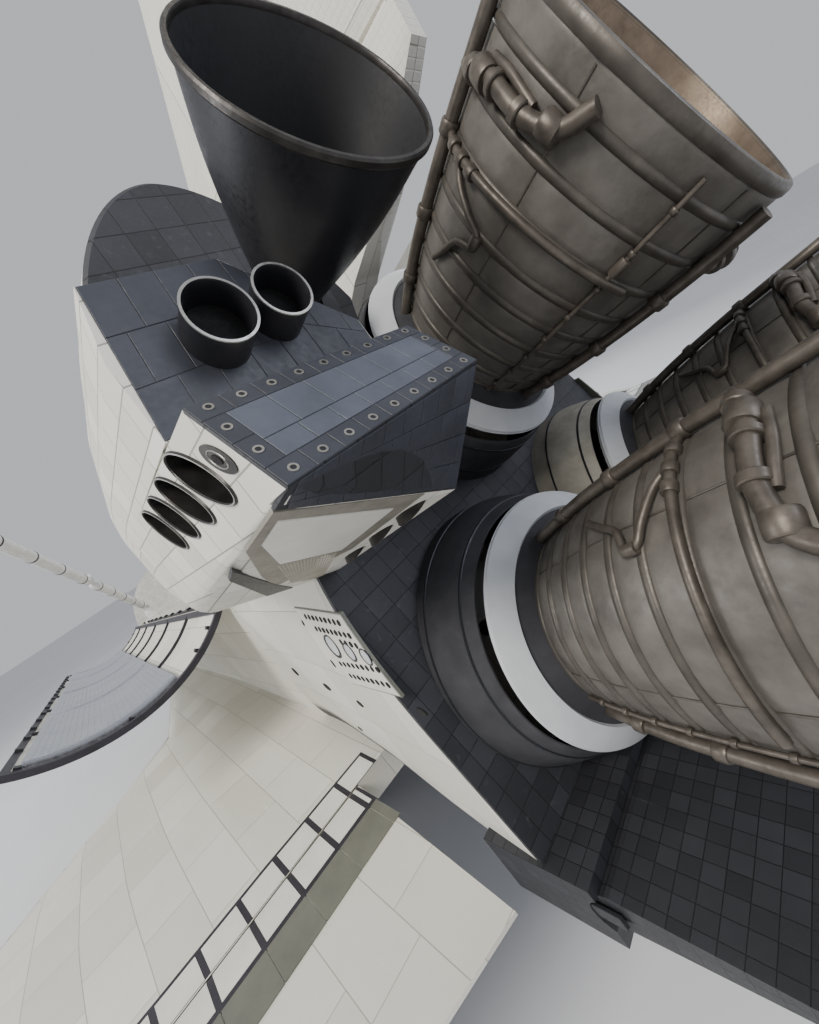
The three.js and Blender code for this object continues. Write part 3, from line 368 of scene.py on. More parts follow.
# Silica tile with a white coat: 8 inch squares, slightly yellowed, with grey filler in the gaps.
whiteTile = {"width": 8, "height": 8, "gap": 0.14, "shade": "#dedcd4", "other": "#cfccc2", "seam": "#98958c",
             "stain": "#bdb9ad", "mark": "#9a958a", "rough": 0.62, "blotch": 60, "soil": 0.4, "marks": 0.25,
             "stagger": 0.5}
# Quilted glass-cloth blanket: panels about 30 inches square, sewn through at 1 inch. The stitches are drawn
# at 2.4 inches so that they show.
blanket = {"width": 36, "height": 30, "gap": 0.22, "shade": "#e0ded6", "other": "#d3d0c6", "seam": "#a5a197",
           "stain": "#c4c0b4", "mark": "#aaa598", "rough": 0.88, "blotch": 70, "soil": 0.4, "marks": 0.2,
           "stagger": 0.5, "quilt": 2.4}
# Felt sheet with a white silicone coat on the wings and pods: wide rectangles, smooth and satin.
felt = {"width": 46, "height": 27, "gap": 0.2, "shade": "#dad8cf", "other": "#c9c6bc", "seam": "#a39f94",
        "stain": "#bcb8ac", "mark": "#e9e7df", "rough": 0.6, "blotch": 50, "soil": 0.35, "marks": 0.4,
        "stagger": 0.37, "grit": 0.08}
# Glass-cloth liner inside the payload bay: pale squares, clean and dull.
linerCloth = dict(blanket, width=24, height=24, shade="#e6e5e0", other="#dddcd6", seam="#b9b7b0", soil=0.15,
                  marks=0.1, quilt=3)


# A skin of one layer, with others laid over it where their masks say.
def skin(name, base, overs=(), depth=0.004):
    material, tree = newTree(name)
    place = surfacePlace(tree)
    layer = panelLayer(tree, place, base)
    for look, where in overs:
        layer = overlaid(tree, where(tree, place), layer, panelLayer(tree, place, look))
    closeTree(tree, layer, depth)
    return material


# Masks, each 1 where its layer shows.
def facesDown(tree, place):
    return addNode(tree, "MapRange", {0: place["normal"][2], 1: -0.1, 2: -0.16, 3: 0, 4: 1})


def belowChine(tree, place):
    line = addNode(tree, "MapRange", {0: place["x"], 1: 262, 2: 600, 3: 340, 4: 300},
                   interpolation_type="SMOOTHSTEP")
    return addNode(tree, "Math", {0: place["z"], 1: line}, operation="LESS_THAN")


def insideTrough(tree, place):
    lift = addNode(tree, "Math", {0: place["z"], 1: 402}, operation="SUBTRACT")
    squares = addNode(tree, "Math", {0: lift, 1: lift, 2: addNode(
        tree, "Math", {0: place["y"], 1: place["y"]}, operation="MULTIPLY")}, operation="MULTIPLY_ADD")
    return addNode(tree, "Math", {0: squares, 1: 94.2 ** 2}, operation="LESS_THAN")


def facesAft(tree, place):
    return addNode(tree, "MapRange", {0: place["normal"][0], 1: 0.5, 2: 0.56, 3: 0, 4: 1})


# A plain surface: one colour with a cloud of a second, a fine grain and a chosen gloss.
def plain(name, shade, other, rough, grain=1.0, depth=0.0005, cloud=12, **shader):
    material, tree = newTree(name)
    place = surfacePlace(tree)
    soft = addNode(tree, "TexNoise", {"Vector": place["inches"], "Scale": 1 / cloud, "Detail": 6,
                                      "Roughness": 0.6})
    amount = addNode(tree, "MapRange", {0: soft, 1: 0.3, 2: 0.7, 3: 0, 4: 1})
    colour = addNode(tree, "Mix", {0: amount, 6: linear(shade), 7: linear(other)}, data_type="RGBA")
    fine = addNode(tree, "TexNoise", {"Vector": place["inches"], "Scale": 1 / grain, "Detail": 4})
    glossiest = max(0.02, rough - 0.1)
    roughness = addNode(tree, "MapRange", {0: fine, 1: 0.25, 2: 0.75, 3: glossiest, 4: rough + 0.1})
    closeTree(tree, {"colour": colour, "rough": roughness, "height": fine}, depth, **shader)
    return material


materials = {
    "hull": skin("silica_tile_and_blanket_hull", whiteTile, [(diagonalTile, belowChine)]),
    "midHull": skin("blanket_hull_with_liner", blanket,
                    [(diagonalTile, belowChine), (linerCloth, insideTrough)]),
    "aftHull": skin("blanket_aft_hull", dict(felt, width=60, height=34), [(diagonalTile, facesDown)]),
    "base": skin("black_tile_base", baseTile),
    "wing": skin("felt_wing_with_tiled_belly", felt, [(diagonalTile, facesDown)]),
    "pod": skin("blanket_pod_with_black_tile_end", blanket, [(baseTile, facesAft)]),
    "housing": skin("tiled_thruster_housing", dict(whiteTile, width=13, height=7)),
    "blackTile": skin("black_coated_silica_tile", blackTile),
    "whiteTile": skin("white_coated_silica_tile", whiteTile),
    # Separate tiles round the thrusters: the same glass coat, in two greys, with soot and pin marks.
    "greyTile": plain("grey_glazed_tile", "#3b3e47", "#2c2e35", 0.5, grain=1.2, depth=0.0008, cloud=14),
    "paleTile": plain("pale_grey_glazed_tile", "#565b66", "#464a54", 0.5, grain=1.2, depth=0.0008, cloud=10),
    # Glazed rub strip behind the flipper doors: olive grey and satin.
    "rubStrip": plain("olive_grey_rub_strip", "#6b6c62", "#5b5c54", 0.5, cloud=18),
    "smoothWhite": plain("white_painted_panel", "#d9d8d2", "#cccac2", 0.45, cloud=16),
    "frameGrey": plain("weathered_panel_frame", "#8d897e", "#716d64", 0.6, cloud=6),
    "rimDark": plain("oxidised_thruster_rim", "#4a4745", "#2e2c2b", 0.4, cloud=4, Metallic=0.7),
    "blanket": skin("quilted_glass_blanket", blanket),
    # Carbon composite with a grey sealed skin, smooth with a soft sheen.
    "carbon": plain("coated_carbon_composite", "#7c7d80", "#66676b", 0.42, cloud=30, depth=0.0004),
    # Niobium bell with a dark fired silicide coat: nearly black, with a silky gloss.
    "podBell": plain("silicide_coated_niobium", "#2c2c31", "#1f1f24", 0.36, cloud=20, Metallic=0.35),
    # The deep insides of the bells and the main engines' injector floors are drawn near black as painted
    # shade.
    "bellInside": plain("bell_wall_painted_shade", "#17171a", "#232326", 0.6, cloud=16),
    "rimSteel": plain("bare_steel_rim", "#b4b2ad", "#96948f", 0.38, Metallic=0.85),
    # Foil-covered insulation over steel tube walls, browned by heat, with a broken metallic sheen.
    "bellFoil": plain("heat_browned_foil", "#716d67", "#524e49", 0.5, grain=2.2, depth=0.003, Metallic=0.25),
    "bellBand": plain("heat_browned_steel_band", "#5f5a53", "#45413c", 0.45, cloud=8, Metallic=0.4),
    "pipe": plain("scaled_nickel_pipe", "#6a635b", "#49433d", 0.45, cloud=5, Metallic=0.5),
    "exitLining": plain("brazed_tube_wall", "#8f8070", "#6f6255", 0.4, cloud=8, Metallic=0.7),
    # Painted heat shield ring, a pale grey coat with a dull surface.
    "paleRing": plain("pale_painted_shield", "#c9cbce", "#b4b7bb", 0.55, cloud=20),
    # Two copies of one quilted cone blanket, pale and dark. On the engine domes the pale copy is painted light
    # and the dark copy is painted shade.
    "clothCone": plain("pale_quilted_cone_and_painted_light", "#b3aea1", "#938e82", 0.8, grain=1.5, depth=0.003, cloud=12),
    "darkCone": plain("dark_blanket_and_painted_shade", "#2b2b2f", "#3d3d42", 0.75, grain=1.5, depth=0.003, cloud=12),
    # Silver-backed tape on aluminium honeycomb: a mirror that is slightly dulled and scuffed.
    "radiator": plain("silvered_tape", "#cfd2d8", "#b7bac2", 0.2, grain=2.5, depth=0.0006, cloud=40,
                      Metallic=0.9),
    "darkEdge": plain("graphite_epoxy_edge", "#2d2a33", "#1d1b22", 0.5, cloud=10),
    "gearPaint": plain("white_gloss_enamel", "#dcdcd8", "#cdcdc8", 0.35, cloud=18),
    "chrome": plain("polished_chrome_rod", "#d8d9db", "#c6c7ca", 0.14, Metallic=1.0),
    "darkMetal": plain("dark_anodised_metal", "#3c3d41", "#2c2d30", 0.45, Metallic=0.6),
    "tyre": plain("tyre_rubber", "#1c1c1d", "#262627", 0.82, grain=0.6, depth=0.001),
    # Near-black floors of jets, slots and vents: painted shade where the openings would go on deeper.
    "paintedOpeningShade": plain("painted_shade_opening", "#060607", "#0b0b0c", 0.9),
    # Fused silica panes seen from outside: near black with a sharp gloss.
    "glass": plain("dark_window_glass", "#0b0d11", "#11141a", 0.12, cloud=60, IOR=1.46),
    "liner": plain("glass_cloth_liner", "#e4e3de", "#d5d4ce", 0.85, grain=0.5, depth=0.001, cloud=25),
    "armCloth": plain("arm_insulation_cloth", "#e2e1dc", "#d2d1cb", 0.8, grain=0.9, depth=0.0015, cloud=8),
}
print("materials ready:", len(materials))

# Fuselage frames: x, middle y, half width, bottom, top, height of the widest line, crown and belly powers.
hull = {
    "noseEnd": 262, "bayFront": 581, "sill": 414, "floorRadius": 93, "floorCentre": 402,
    "frames": [
        [238, 0, 4, 334, 342, 338, 2, 2], [243, 0, 18, 322, 355, 338, 2, 2],
        [252, 0, 31, 311, 367, 338, 2, 2.1], [268, 0, 42, 301, 379, 337, 2, 2.2],
        [300, 0, 56, 291, 394, 336, 2, 2.4], [340, 0, 68, 284, 410, 336, 2, 2.7],
        [378, 0, 78, 280, 425, 338, 2, 3], [420, 0, 88, 276, 446, 342, 2, 3.3],
        [438, 0, 91, 274.5, 455, 345, 2, 3.5], [472, 0, 96, 272, 487, 352, 2.1, 3.8],
        [492, 0, 99, 271, 498, 360, 2.1, 4], [530, 0, 103, 269, 502.5, 380, 2, 4.4],
        [581, 0, 105, 267, 503, 398, 2, 5], [1306, 0, 105, 267, 503, 398, 2, 5],
        [1400, 0, 112, 268, 503, 385, 2.1, 6], [1462, 0, 119, 269, 502, 360, 2.4, 8],
        [1540, 0, 128, 270, 500, 335, 2.8, 10]],
}
base = {"x": 1511, "z": 290, "lean": math.radians(13), "thick": 2.5}
engineRoot = {"ball": 4, "pocket": 47.3, "travel": 10.5}
lowerEngine = {"pitch": 10, "domeRoot": 57, "domeBend": 52.6, "feed": 92, "drain": 198}
# The three domes wear the same blanket. The dark cone on the top and port domes is painted shade, and the pale
# cone on the starboard dome is painted light.
engines = {
    "top": {"at": (1445, 0, 443), "pitch": 16, "yaw": 0, "domeRoot": 50.5, "domeBend": 49.7, "feed": 135,
            "drain": 222, "cone": "darkCone"},
    "port": dict(lowerEngine, at=(1468.17, -53, 342.64), yaw=-3.5, cone="darkCone"),
    "starboard": dict(lowerEngine, at=(1468.17, 53, 342.64), yaw=3.5, cone="clothCone"),
}


# Each frame is a superellipse: y = half * cos^(2/power), z = height * sin^(2/power), with a power above and
# another below its widest line.
def frames(table, stations, extra=0.0, around=144):
    stations = np.asarray(stations, float)
    middle, half, bottom, top, wide, crown, belly = between(table, stations).T[:, :, None]
    turn = np.linspace(0, 2 * math.pi, around, endpoint=False)[None]
    level, rise = np.cos(turn), np.sin(turn)
    power = 2 / np.where(rise > 0, crown, belly)
    height = np.where(rise > 0, top - wide, wide - bottom) + extra
    y = middle + (half + extra) * np.sign(level) * np.abs(level) ** power
    z = wide + height * np.sign(rise) * np.abs(rise) ** power
    return np.stack([np.broadcast_to(stations[:, None], y.shape), y, z], -1)


# The port skin of the hull at (x, z): the same superellipse solved for y.
def sideAt(x, z, out=0.0):
    rows = between(hull["frames"], np.ravel(x)).T.reshape((7,) + np.shape(x))
    _, half, bottom, top, wide, crown, belly = rows
    above = z > wide
    height = np.where(above, top - wide, wide - bottom) + out
    power = np.where(above, crown, belly)
    share = np.clip(np.abs(z - wide) / height, 0, 1)
    return -(half + out) * (1 - share ** power) ** (1 / power)


# Two matching grids of points become the two faces of a closed plate.
def plate(outer, inner):
    rows, columns = outer.shape[:2]
    vertices, faces = grid(outer)
    count = rows * columns
    order = np.arange(count).reshape(rows, columns)
    edge = np.concatenate([order[0, :-1], order[:-1, -1], order[-1, :0:-1], order[:0:-1, 0]]).tolist()
    back = [[i + count for i in face[::-1]] for face in faces]
    sides = [[b, a, a + count, b + count] for a, b in zip(edge, edge[1:] + edge[:1])]
    return np.concatenate([vertices, inner.reshape(-1, 3)]), faces + back + sides


# Points between four corners: straight lines across and along.
def spread(corners, u, v):
    a, b, c, d = np.asarray(corners, float)
    u, v = u[..., None], v[..., None]
    return (1 - u) * (1 - v) * a + u * (1 - v) * b + u * v * c + (1 - u) * v * d


# A thin plate on the port side of the hull, between four corners (x, z).
def sidePlate(corners, out=0.3, depth=0.8, steps=(14, 8)):
    u, v = np.meshgrid(np.linspace(0, 1, steps[0] + 1), np.linspace(0, 1, steps[1] + 1), indexing="ij")
    flat = spread(corners, u, v)
    x, z = flat[..., 0], flat[..., 1]
    skins = [np.stack([x, sideAt(x, z, reach), z], -1) for reach in (out, out - depth)]
    return plate(*skins)


# A round or oval plate on the port side: rings about (x, z), closed round its rim.
def sideDisc(x, z, radii, out=0.3, depth=0.8, rings=6, around=64):
    turn = np.linspace(0, 2 * math.pi, around, endpoint=False)[None]
    share = np.concatenate([np.linspace(0.02, 1, rings), [1, 1, 0.02]])[:, None]
    px, pz = x + radii[0] * share * np.cos(turn), z + radii[1] * share * np.sin(turn)
    rimReach = [out - 0.06, out - 0.2, out - depth, out - depth]
    reach = np.concatenate([np.full(rings - 1, out), rimReach])[:, None]
    return tube(np.stack([px, sideAt(px, pz, np.broadcast_to(reach, px.shape)), pz], -1))


# Tiles over a four-cornered face: each is drawn in from its neighbours by half the gap, and its chamfered top
# stands proud along the face's normal.
def tiles(corners, columns, rows, proud=0.4, gap=0.18, stagger=0.0, root=0.4):
    corners = np.asarray(corners, float)
    a, b, c, d = corners
    normal = np.cross(c - a, d - b)
    normal /= np.linalg.norm(normal)
    width = (np.linalg.norm(b - a) + np.linalg.norm(c - d)) / 2
    height = (np.linalg.norm(d - a) + np.linalg.norm(c - b)) / 2
    i, k = np.meshgrid(np.arange(columns + (stagger > 0)), np.arange(rows), indexing="ij")
    begin = i - stagger * (k % 2)
    u0, u1 = np.clip(begin / columns, 0, 1).ravel(), np.clip((begin + 1) / columns, 0, 1).ravel()
    v0, v1 = (k / rows).ravel(), ((k + 1) / rows).ravel()
    kept = u1 - u0 > 3 * gap / width
    u0, u1, v0, v1 = u0[kept], u1[kept], v0[kept], v1[kept]
    levels = []
    for inset, lift in ((gap / 2, -root), (gap / 2, proud - 0.05), (gap / 2 + 0.05, proud)):
        du, dv = inset / width, inset / height
        u = np.stack([u0 + du, u1 - du, u1 - du, u0 + du], -1)
        v = np.stack([v0 + dv, v0 + dv, v1 - dv, v1 - dv], -1)
        levels.append(spread(corners, u, v) + lift * normal)
    return np.concatenate(levels, 1).reshape(-1, 3), repeatedFaces(len(u0))


def baseX(z, out=0.0):
    return base["x"] + out / math.cos(base["lean"]) - math.tan(base["lean"]) * (z - base["z"])


# A block on one side of the leaning base plane: everything between the plane and the far station.
def beyondBase(out, far):
    return prism("y", [(200, baseX(200, out)), (620, baseX(620, out)), (620, far), (200, far)], -320, 320)


def aim(pitch, yaw):
    pitch, yaw = math.radians(pitch), math.radians(yaw)
    return np.array([math.cos(pitch) * math.cos(yaw), math.cos(pitch) * math.sin(yaw), math.sin(pitch)])


def barrel(radius, start, end, at, pitch, yaw, sides=96):
    return turned([(radius, start), (radius, end)], at, aim(pitch, yaw), sides)


pockets = [barrel(engineRoot["pocket"], -engineRoot["ball"], 120, e["at"], e["pitch"], e["yaw"])
           for e in engines.values()]

# Nose cap and forward fuselage, with the nose wheel well, the round hatch opening and the black window band.
nose = {"well": (335, 440, 22.5, 330), "hatchX": 505, "hatchZ": 345.2, "hatchRadius": 19.8, "opening": 20.2}
noseStations = np.concatenate([238 + 2 * np.linspace(0, 1, 4) ** 2, np.linspace(241, hull["noseEnd"], 12)])
makePiece("nose_cap", tube(frames(hull["frames"], noseStations)), "carbon", "airframe",
          ["nose_cap"])
wellFrom, wellTo, wellHalf, wellRoof = nose["well"]
wellOutline = [(wellFrom, -wellHalf), (wellTo, -wellHalf), (wellTo, wellHalf), (wellFrom, wellHalf)]
forwardStations = np.linspace(hull["noseEnd"] + 0.15, hull["bayFront"], 90)
hatchCut = turned([(nose["opening"], 0), (nose["opening"], 40)], (nose["hatchX"], -131, nose["hatchZ"]),
                  (0, 1, 0))
makePiece("forward_fuselage", tube(frames(hull["frames"], forwardStations)), "hull", "airframe",
          ["forward_fuselage", "windscreen"], [prism("z", wellOutline, 230, wellRoof), hatchCut])
hatchShape = sideDisc(nose["hatchX"], nose["hatchZ"], (nose["hatchRadius"],) * 2, 0.05, 7)
makePiece("crew_hatch", hatchShape, "whiteTile", "crew_hatch", ["crew_hatch"])
makePiece("hatch_window", sideDisc(nose["hatchX"] + 2, nose["hatchZ"] + 6, (4.2, 4.2), 0.3, 0.6, around=48),
          "glass", "crew_hatch")
hatchRing = sideDisc(nose["hatchX"], nose["hatchZ"], (7.2, 7.2), 0.12, 0.5)
makePiece("hatch_ring", hatchRing, "blackTile", "crew_hatch")

# Window band and panes as corners (x, z); openings of the nose thrusters and the star tracker as ovals
# (x, z, half width, half height), dark with a rim; the dark of their floors is painted shade.
window = {
    "band": [(449, 452), (492, 441), (497, 484), (474, 486)],
    "panes": [[(474, 448.5), (489.5, 445), (492, 478), (480, 479)],
              [(454.5, 455), (471, 448.5), (477, 479.5), (470.5, 478.5)]],
}
noseJets = [(330, 362, 4.2, 2.9), (342, 366, 4.2, 2.9), (354, 369, 4.2, 2.9), (318, 344, 3.4, 3.0),
            (392, 404, 7.5, 5.0), (352, 345, 3.4, 3.0)]
band = sidePlate(window["band"], 0.25, 1.2, (20, 20))
panes = joined(*[sidePlate(pane, 0.45, 0.9, (10, 10)) for pane in window["panes"]])
for side, place in portDrawn:
    makePiece(f"window_band_{side}", place(band), "blackTile", "airframe")
    makePiece(f"window_panes_{side}", place(panes), "glass", "airframe")
noseRims = joined(*[sideDisc(x, z, (a + 0.9, b + 0.9), 0.22, 0.8, around=40) for x, z, a, b in noseJets])
noseFloors = joined(*[sideDisc(x, z, (a, b), 0.32, 0.8, around=40) for x, z, a, b in noseJets])
for side, place in portDrawn:
    makePiece(f"nose_jet_rims_{side}", place(noseRims), "darkMetal", "airframe")
    makePiece(f"nose_jets_{side}", place(noseFloors), "paintedOpeningShade", "airframe")
print("nose ready")

# Mid fuselage: a trough under the doors, lined with cloth, with ribs, a sill rail and the two bulkheads.
floorAngle = math.asin((hull["sill"] - hull["floorCentre"]) / hull["floorRadius"])
floorTurn = np.linspace(floorAngle, -math.pi - floorAngle, 72)


def floorArc(radius):
    return np.stack([radius * np.cos(floorTurn), hull["floorCentre"] + radius * np.sin(floorTurn)], 1)


sill = hull["sill"]
troughOutline = np.concatenate([[(140, sill)], floorArc(hull["floorRadius"]),
                                [(-140, sill), (-140, 540), (140, 540)]])
makePiece("mid_fuselage", tube(frames(hull["frames"], np.linspace(581.15, 1306, 14))), "midHull",
          "airframe", ["mid_fuselage"], [prism("x", troughOutline, 570, 1320)])


def halfRing(x, outer, inner, half):
    outline = np.concatenate([floorArc(outer), floorArc(inner)[::-1]])
    return prism("x", outline, x - half, x + half)


bay = {"from": 584, "to": 1303, "ribs": (640, 1247), "keel": [(-4, 309), (4, 309), (3, 312.5), (-3, 312.5)],
       "rail": [(93.5, 412.5), (97.5, 412.5), (97.5, 416), (93.5, 416)],
       "stringer": [(70, 343), (75, 347), (73, 350), (68, 346)]}


# A bar along the whole bay, from its outline of (y, z) corners on one side or the other.
def bayBar(outline, way=1):
    return prism("x", [(way * y, z) for y, z in outline], bay["from"], bay["to"])


ribs = [halfRing(x, 93.4, 90.6, 1.4) for x in np.linspace(*bay["ribs"], 12)]
makePiece("bay_ribs", joined(*ribs), "liner", "airframe")
trunnionSpots = [(x, s * 95.5, 416.5) for x in np.arange(630, 1270, 60) for s in (-1, 1)]
rails = [bayBar(bay["rail"], s) for s in (-1, 1)]
makePiece("sill_rails", joined(*rails, blocks(trunnionSpots, (5, 2.2, 1.6), 0.6)), "darkMetal", "airframe")
bulkheads = [halfRing(x, 92.8, 0.5, 0.35) for x in (581.6, 1305.4)]
makePiece("bay_bulkheads", joined(*bulkheads), "blanket", "airframe")
makePiece("bay_keel", joined(bayBar(bay["keel"]), *[bayBar(bay["stringer"], s) for s in (-1, 1)]), "gearPaint",
          "airframe")
print("bay ready")

# Doors swung open about their hinge lines, with dark edges, hinges, and four radiator panels on each.
door = {"outer": 105, "inner": 102.4, "from": 9.3, "to": 89.9, "front": 581.5, "back": 1305.5, "axis": 398,
        "open": math.radians(139.5), "hingeY": 105.5, "hingeZ": 414.95, "hinges": 7, "length": 7,
        "panels": [590, 766, 943, 1120, 1298]}


def opened(points):
    y, z = points[..., 1] - door["hingeY"], points[..., 2] - door["hingeZ"]
    c, s = math.cos(door["open"]), -math.sin(door["open"])
    return np.stack([points[..., 0], door["hingeY"] + c * y - s * z, door["hingeZ"] + s * y + c * z], -1)


def openedShape(shape):
    return opened(shape[0]), shape[1]


# A curved strip of the closed door, opened: an arc of constant radius carried from one station to another.
def doorStrip(outer, inner, fromTurn, toTurn, start, end, steps=40):
    turn = np.radians(np.linspace(fromTurn, toTurn, steps))
    ring = [np.stack([r * np.cos(turn), door["axis"] + r * np.sin(turn)], 1) for r in (outer, inner)]
    return openedShape(prism("x", np.concatenate([ring[0], ring[1][::-1]]), start, end))


def doorCurve(radius, turnDegrees, xs):
    turn = np.radians(turnDegrees)
    xs, turn = np.broadcast_arrays(np.asarray(xs, float), turn)
    return opened(np.stack([xs, radius * np.cos(turn), door["axis"] + radius * np.sin(turn)], -1))


hingeStations = np.linspace(611, 1276, door["hinges"])
half = door["length"] / 2
doorEdges = joined(
    doorStrip(105.1, 101.2, 9.6, 89.8, 1300.5, 1305.6), doorStrip(105.1, 101.2, 9.6, 89.8, 581.4, 586.5),
    doorStrip(105.1, 101.2, 87.6, 89.85, 586, 1301, 4), doorStrip(102.6, 100.6, 9.6, 12.5, 586, 1301, 4))
doorFrames = joined(*[doorStrip(102.6, 100.2, 11, 88, x - 1.2, x + 1.2, 30)
                      for x in np.linspace(700, 1190, 5)])
lugSpots = [(h + s * (half + 1.2), 103.6, 415.5) for h in hingeStations for s in (-1, 1)]
doorHinges = joined(*[turned([(1.35, 0), (1.35, 2)], (x, door["hingeY"], door["hingeZ"]), (1, 0, 0), 32)
                      for h in hingeStations for x in (h - half - 2.2, h + half + 0.2)],
                    openedShape(blocks(lugSpots, (1, 1.9, 0.85))))
panelEnds = list(zip(door["panels"][:-1], door["panels"][1:]))
radiators = joined(*[doorStrip(102.9, 98.2, 38, 85, a + 0.8, b - 0.8, 48) for a, b in panelEnds])
flowTubes = joined(*[swept(doorCurve(98.15, t, np.linspace(a + 4, b - 4, 3)), 0.35, 6)
                     for t in np.linspace(40, 83, 22) for a, b in panelEnds])
manifolds = joined(*[swept(doorCurve(98.2, np.linspace(39.5, 83.5, 24), x), 0.75, 10)
                     for a, b in panelEnds for x in (a + 3, b - 3)])
endLatches = [(x, 101.4 * math.cos(t), door["axis"] + 101.4 * math.sin(t))
              for x in (1296.5, 590.5) for t in np.radians([18, 27, 56, 86])]
ridgeLatches = [(x, 2.8, door["axis"] + 100.6) for x in np.linspace(640, 1247, 16)]
latches = openedShape(joined(blocks(endLatches, (2.6, 1.6, 1.3), 0.5), blocks(ridgeLatches, (3, 2, 1.2), 0.5)))
pins = [turned([(0.75, -half - 2.4), (0.75, half + 2.4)], (h, door["hingeY"], door["hingeZ"]), (1, 0, 0), 24)
        for h in hingeStations]
knuckles = joined(*pins, blocks([(h, 103.4, 412.8) for h in hingeStations], (half, 2.1, 1.5)))
doorSkin = doorStrip(door["outer"], door["inner"], door["from"], door["to"], door["front"], door["back"], 64)
for side, place in starboardDrawn:
    body = f"bay_door_{side}"
    makePiece(f"door_skin_{side}", place(doorSkin), "blanket", body, [body])
    makePiece(f"door_edges_{side}", place(joined(doorEdges, doorFrames)), "darkEdge", body)
    makePiece(f"door_hinges_{side}", place(doorHinges), "gearPaint", body)
    makePiece(f"door_latches_{side}", place(latches), "darkMetal", body)
    makePiece(f"radiator_{side}", place(radiators), "radiator", body, [f"radiator_{side}"])
    makePiece(f"radiator_tubes_{side}", place(joined(flowTubes, manifolds)), "radiator", body)
    makePiece(f"door_knuckles_{side}", place(knuckles), "gearPaint", "airframe")
print("doors ready")

# Aft fuselage, cut off by the leaning base plane and hollowed round the engines, with its shelf over the flap.
flap = {"x": 1532, "z": 287, "half": 8, "gap": 0.3, "lip": 0.45, "lugY": 124.9, "pinY": 122.4}
shelf = {"front": 1484, "bottom": 270.5, "top": 299.8, "half": 126}
flapRoom = turned([(flap["half"] + flap["gap"], 0), (flap["half"] + flap["gap"], 290)],
                  (flap["x"], -145, flap["z"]), (0, 1, 0), 96)
aftStations = np.concatenate([np.linspace(1306, 1455, 30), np.linspace(1460, 1536, 20)])
makePiece("aft_fuselage", tube(frames(hull["frames"], aftStations)), "aftHull", "airframe",
          ["aft_fuselage"], [beyondBase(0, 1900), flapRoom] + pockets)
shelfBack = flap["x"] - flap["lip"] * flap["half"]
shelfOutline = [(shelf["bottom"], shelf["front"]), (shelf["bottom"], shelfBack), (shelf["top"], shelfBack),
                (shelf["top"], shelf["front"])]
shelfBlock = prism("y", shelfOutline, -shelf["half"], shelf["half"])
makePiece("flap_shelf", shelfBlock, "blackTile", "airframe", (), [flapRoom] + pockets)
flapLugs = [blocks([(flap["x"] - 5, s * flap["lugY"], flap["z"])], (7, 0.7, 3)) for s in (-1, 1)]
flapPins = [turned([(1.2, 0), (1.2, 4.6)], (flap["x"], s * flap["pinY"], flap["z"]), (0, 1, 0), 32)
            for s in (-1, 1)]
makePiece("flap_lugs", joined(*flapLugs, *flapPins), "darkMetal", "airframe")

# The base plate of black tiles, and the round dome that guards each engine.
aheadOfBase = beyondBase(0.01, 900)
belowShelf = prism("y", [(200, 1300), (200, 1700), (299.9, 1700), (299.9, 1300)], -200, 200)
basePlate = tube(frames(hull["frames"], np.linspace(1440, 1539, 60)))
makePiece("base_plate", basePlate, "base", "airframe", ["base_heat_shield"],
          [aheadOfBase, beyondBase(base["thick"], 1900), belowShelf] + pockets)
dome = {"front": 18, "bend": 36, "lip": 58.9, "lipRadius": 48.2, "bore": 47.6, "hoops": (38, 54)}


def aboutEngine(engine, profile, sides, closed=False):
    return turned(profile, engine["at"], aim(engine["pitch"], engine["yaw"]), sides, closed)


for name, engine in engines.items():
    root, steps = engine["domeRoot"], np.linspace(dome["front"], dome["lip"], 40)
    rows = [[dome["front"], root], [dome["bend"], root - 0.8], [50, engine["domeBend"]],
            [dome["lip"] - 1, dome["lipRadius"] + 0.5], [dome["lip"], dome["lipRadius"]]]
    outer = between(rows, steps)[:, 0]
    profile = list(zip(outer, steps)) + [(dome["bore"], dome["lip"]), (dome["bore"], dome["front"])]
    makePiece(f"engine_dome_{name}", aboutEngine(engine, profile, 144, True), engine["cone"], "airframe",
              (), [aheadOfBase])
    hoops = []
    for s, r in zip(dome["hoops"], np.interp(dome["hoops"], steps, outer)):
        profile = [(r - 0.5, s - 0.5), (r + 0.35, s - 0.4), (r + 0.35, s + 0.4), (r - 0.5, s + 0.5)]
        hoops.append(aboutEngine(engine, profile, 144, True))
    makePiece(f"dome_hoops_{name}", joined(*hoops), "darkMetal", "airframe", (), [aheadOfBase])
print("base ready")

# Main engines. Everything sits on the bell's own lines: s along the thrust line, a turn round it, and a lift
# off its skin.
bell = {
    "outer": [(20, 10), (34, 22), (60, 28), (74, 32.4), (98, 38.4), (130, 43.4), (162, 46.5)],
    "inner": [(66, 17), (74, 29.4), (98, 36.8), (130, 41.9), (162, 45.1)],
    "skinFrom": 62, "bands": [72, 80, 88.5, 97.5, 107, 117, 128, 139.5, 151], "seams": 6, "swell": 0.7,
    "rim": [(45.1, 158.6), (46.9, 158.8), (47.4, 159.6), (47.4, 161.4), (47.0, 162.2), (46.4, 162.5),
            (45.4, 162.5), (45.0, 161.6)],
    "neck": [(0.2, -4), (2.83, -2.8), (4, 0), (5, 6), (9, 16), (14, 26), (21, 34), (25, 46), (27.4, 62),
             (27.4, 64), (0.2, 64)],
    "floor": [(0.5, 65.5), (18, 66), (18, 67), (0.5, 66.5)], "collars": [(27, 56), (29.5, 65)],
}


def bellRadius(s, wall="outer"):
    return between(bell[wall], np.ravel(np.asarray(s, float)))[:, 0].reshape(np.shape(s))


def onBell(engine, s, turn, lift=0.0, wall="outer"):
    level, up, forward = across(aim(engine["pitch"], engine["yaw"]))
    s, turn = np.broadcast_arrays(np.asarray(s, float), np.asarray(turn, float))
    radius = (bellRadius(s, wall) + lift)[..., None]
    return (np.asarray(engine["at"], float) + s[..., None] * forward
            + radius * (np.cos(turn)[..., None] * level + np.sin(turn)[..., None] * up))


